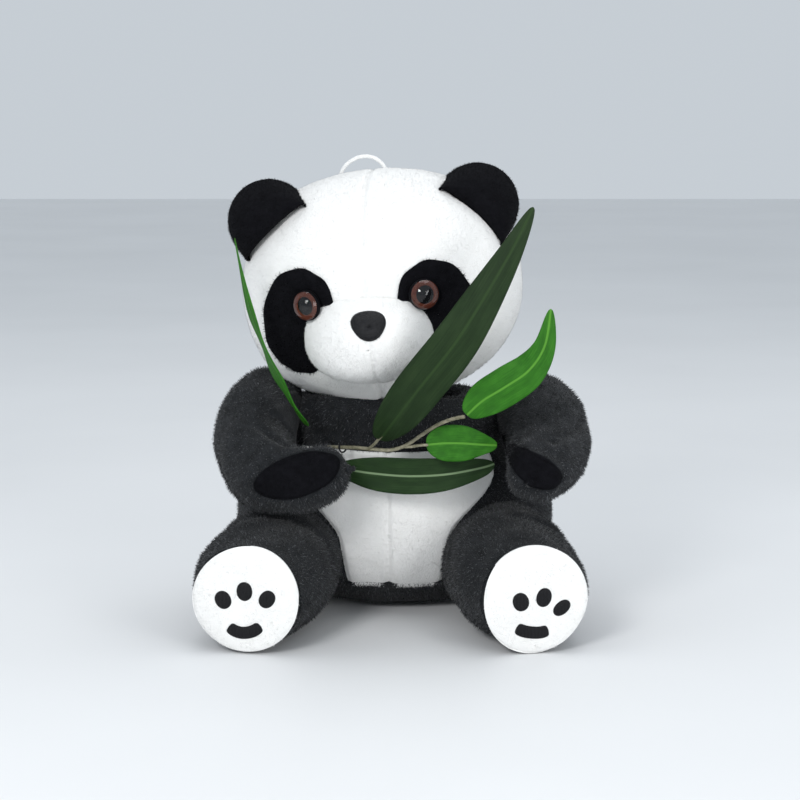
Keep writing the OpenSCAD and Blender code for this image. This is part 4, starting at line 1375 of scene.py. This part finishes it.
def make_leaf(letter, mat, slot, fold, curl):
    """A thin printed-cloth leaf: folded at its rib, veined, and waved a little at its edges."""
    points, width, across = LEAVES[letter]
    rows, cols = 90, 19
    mid = through(points, rows)
    k = np.linspace(0, 1, rows)[:, None]
    t = unit(np.gradient(mid, axis=0))
    out = unit(np.cross(t, across))
    side = unit(np.cross(out, t))
    e = np.linspace(-1, 1, cols)[None]
    half = leaf_half(k, width)
    half[0], half[-1] = 0.5, 0.25
    vein = 0.09 * np.cos(e * math.pi * 9) * np.minimum(1, half / 6)
    wave = 0.7 * np.sin(k * 17 + 1.3) * e ** 2 * np.sign(e) * np.minimum(1, half / 6)
    rib = 0.45 * bell(e * half, 0.55)
    lift = fold * np.abs(e) * half - curl * half * e ** 2 + wave + vein + rib
    top = mid[:, None] + (e * half)[..., None] * side[:, None] + lift[..., None] * out[:, None]
    thick = 0.35 * np.minimum(1, half / 3)[..., None] * out[:, None]
    both = np.concatenate([(top + thick).reshape(-1, 3), (top - thick).reshape(-1, 3)])
    leaf = piece(f"leaf_{letter}_cloth", both, shell_faces(rows, cols), [mat],
                 body="torso" if letter == "d" else "leaf_" + letter, slot=slot, tidy=False)
    bm = bmesh.new()
    bm.from_mesh(leaf.data)
    bmesh.ops.recalc_face_normals(bm, faces=bm.faces)
    bm.to_mesh(leaf.data)
    bm.free()
    marks = np.stack([(e + 0 * k) * half / half.max(), k + 0 * e, 0 * e + 0 * k], -1).reshape(-1, 3)
    marks = np.concatenate([marks, marks]).astype(np.float32)
    leaf.data.attributes.new("leaf", "FLOAT_VECTOR", "POINT").data.foreach_set("vector", marks.ravel())
    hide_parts("leaf_" + letter)


def make_stem():
    """Wrapped wire stem with a twig to each leaf."""
    lines = [(through(STEM_ROUTE, 90), 1.0),
             (through([(-14, -53, 102), (-11, -56, 105), (-8, -60, 109), (-6, -63, 111)], 24), 0.8),
             (through([(4, -58, 104), (9, -60, 104.5), (13, -62, 105.5), (18, -63, 106)], 24), 0.8)]
    parts = []
    for mid, radius in lines:
        knots = 1 + 0.08 * np.sin(np.arange(len(mid)) * 1.9)
        parts.append(tube_points(mid, radius * knots, 14))
    stem = piece("bamboo_stem_wire", *joined(parts), [wire], body="torso", slot="stem")
    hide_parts("bamboo_stem")
    parts = []
    for centre in np.array(STEM_ROUTE[:2], float) + np.array([0, 2.0, 0]):
        a = np.linspace(0, 2 * math.pi, 40)
        mid = centre + 3 * (np.cos(a)[:, None] * np.array([0.66, 0.75, 0]) + np.sin(a)[:, None] * UP)
        parts.append(tube_points(mid, 0.5, 8))
    thread = piece("stem_stitch_loops", *joined(parts), [black_thread], body="torso", slot="thread")
    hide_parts("stem_stitches")


make_head()
make_muzzle()
make_nose()
make_torso()
make_tail()
make_neck()
for side, word in SIDES:
    make_patch(side, word)
    make_eye(side, word)
    make_ear(side, word)
    make_arm(side, word)
    make_leg(side, word)
make_stem()
make_leaf("a", dark_leaf, "leaf_dark", 0.16, 0.05)
make_leaf("b", bright_leaf, "leaf_bright", 0.12, 0.05)
make_leaf("c", bright_leaf, "leaf_bright", 0.1, 0.1)
make_leaf("d", rib_highlight_leaf, "leaf_dark", 0.08, 0.12)
make_leaf("e", bright_leaf, "leaf_bright", 0.14, 0.05)
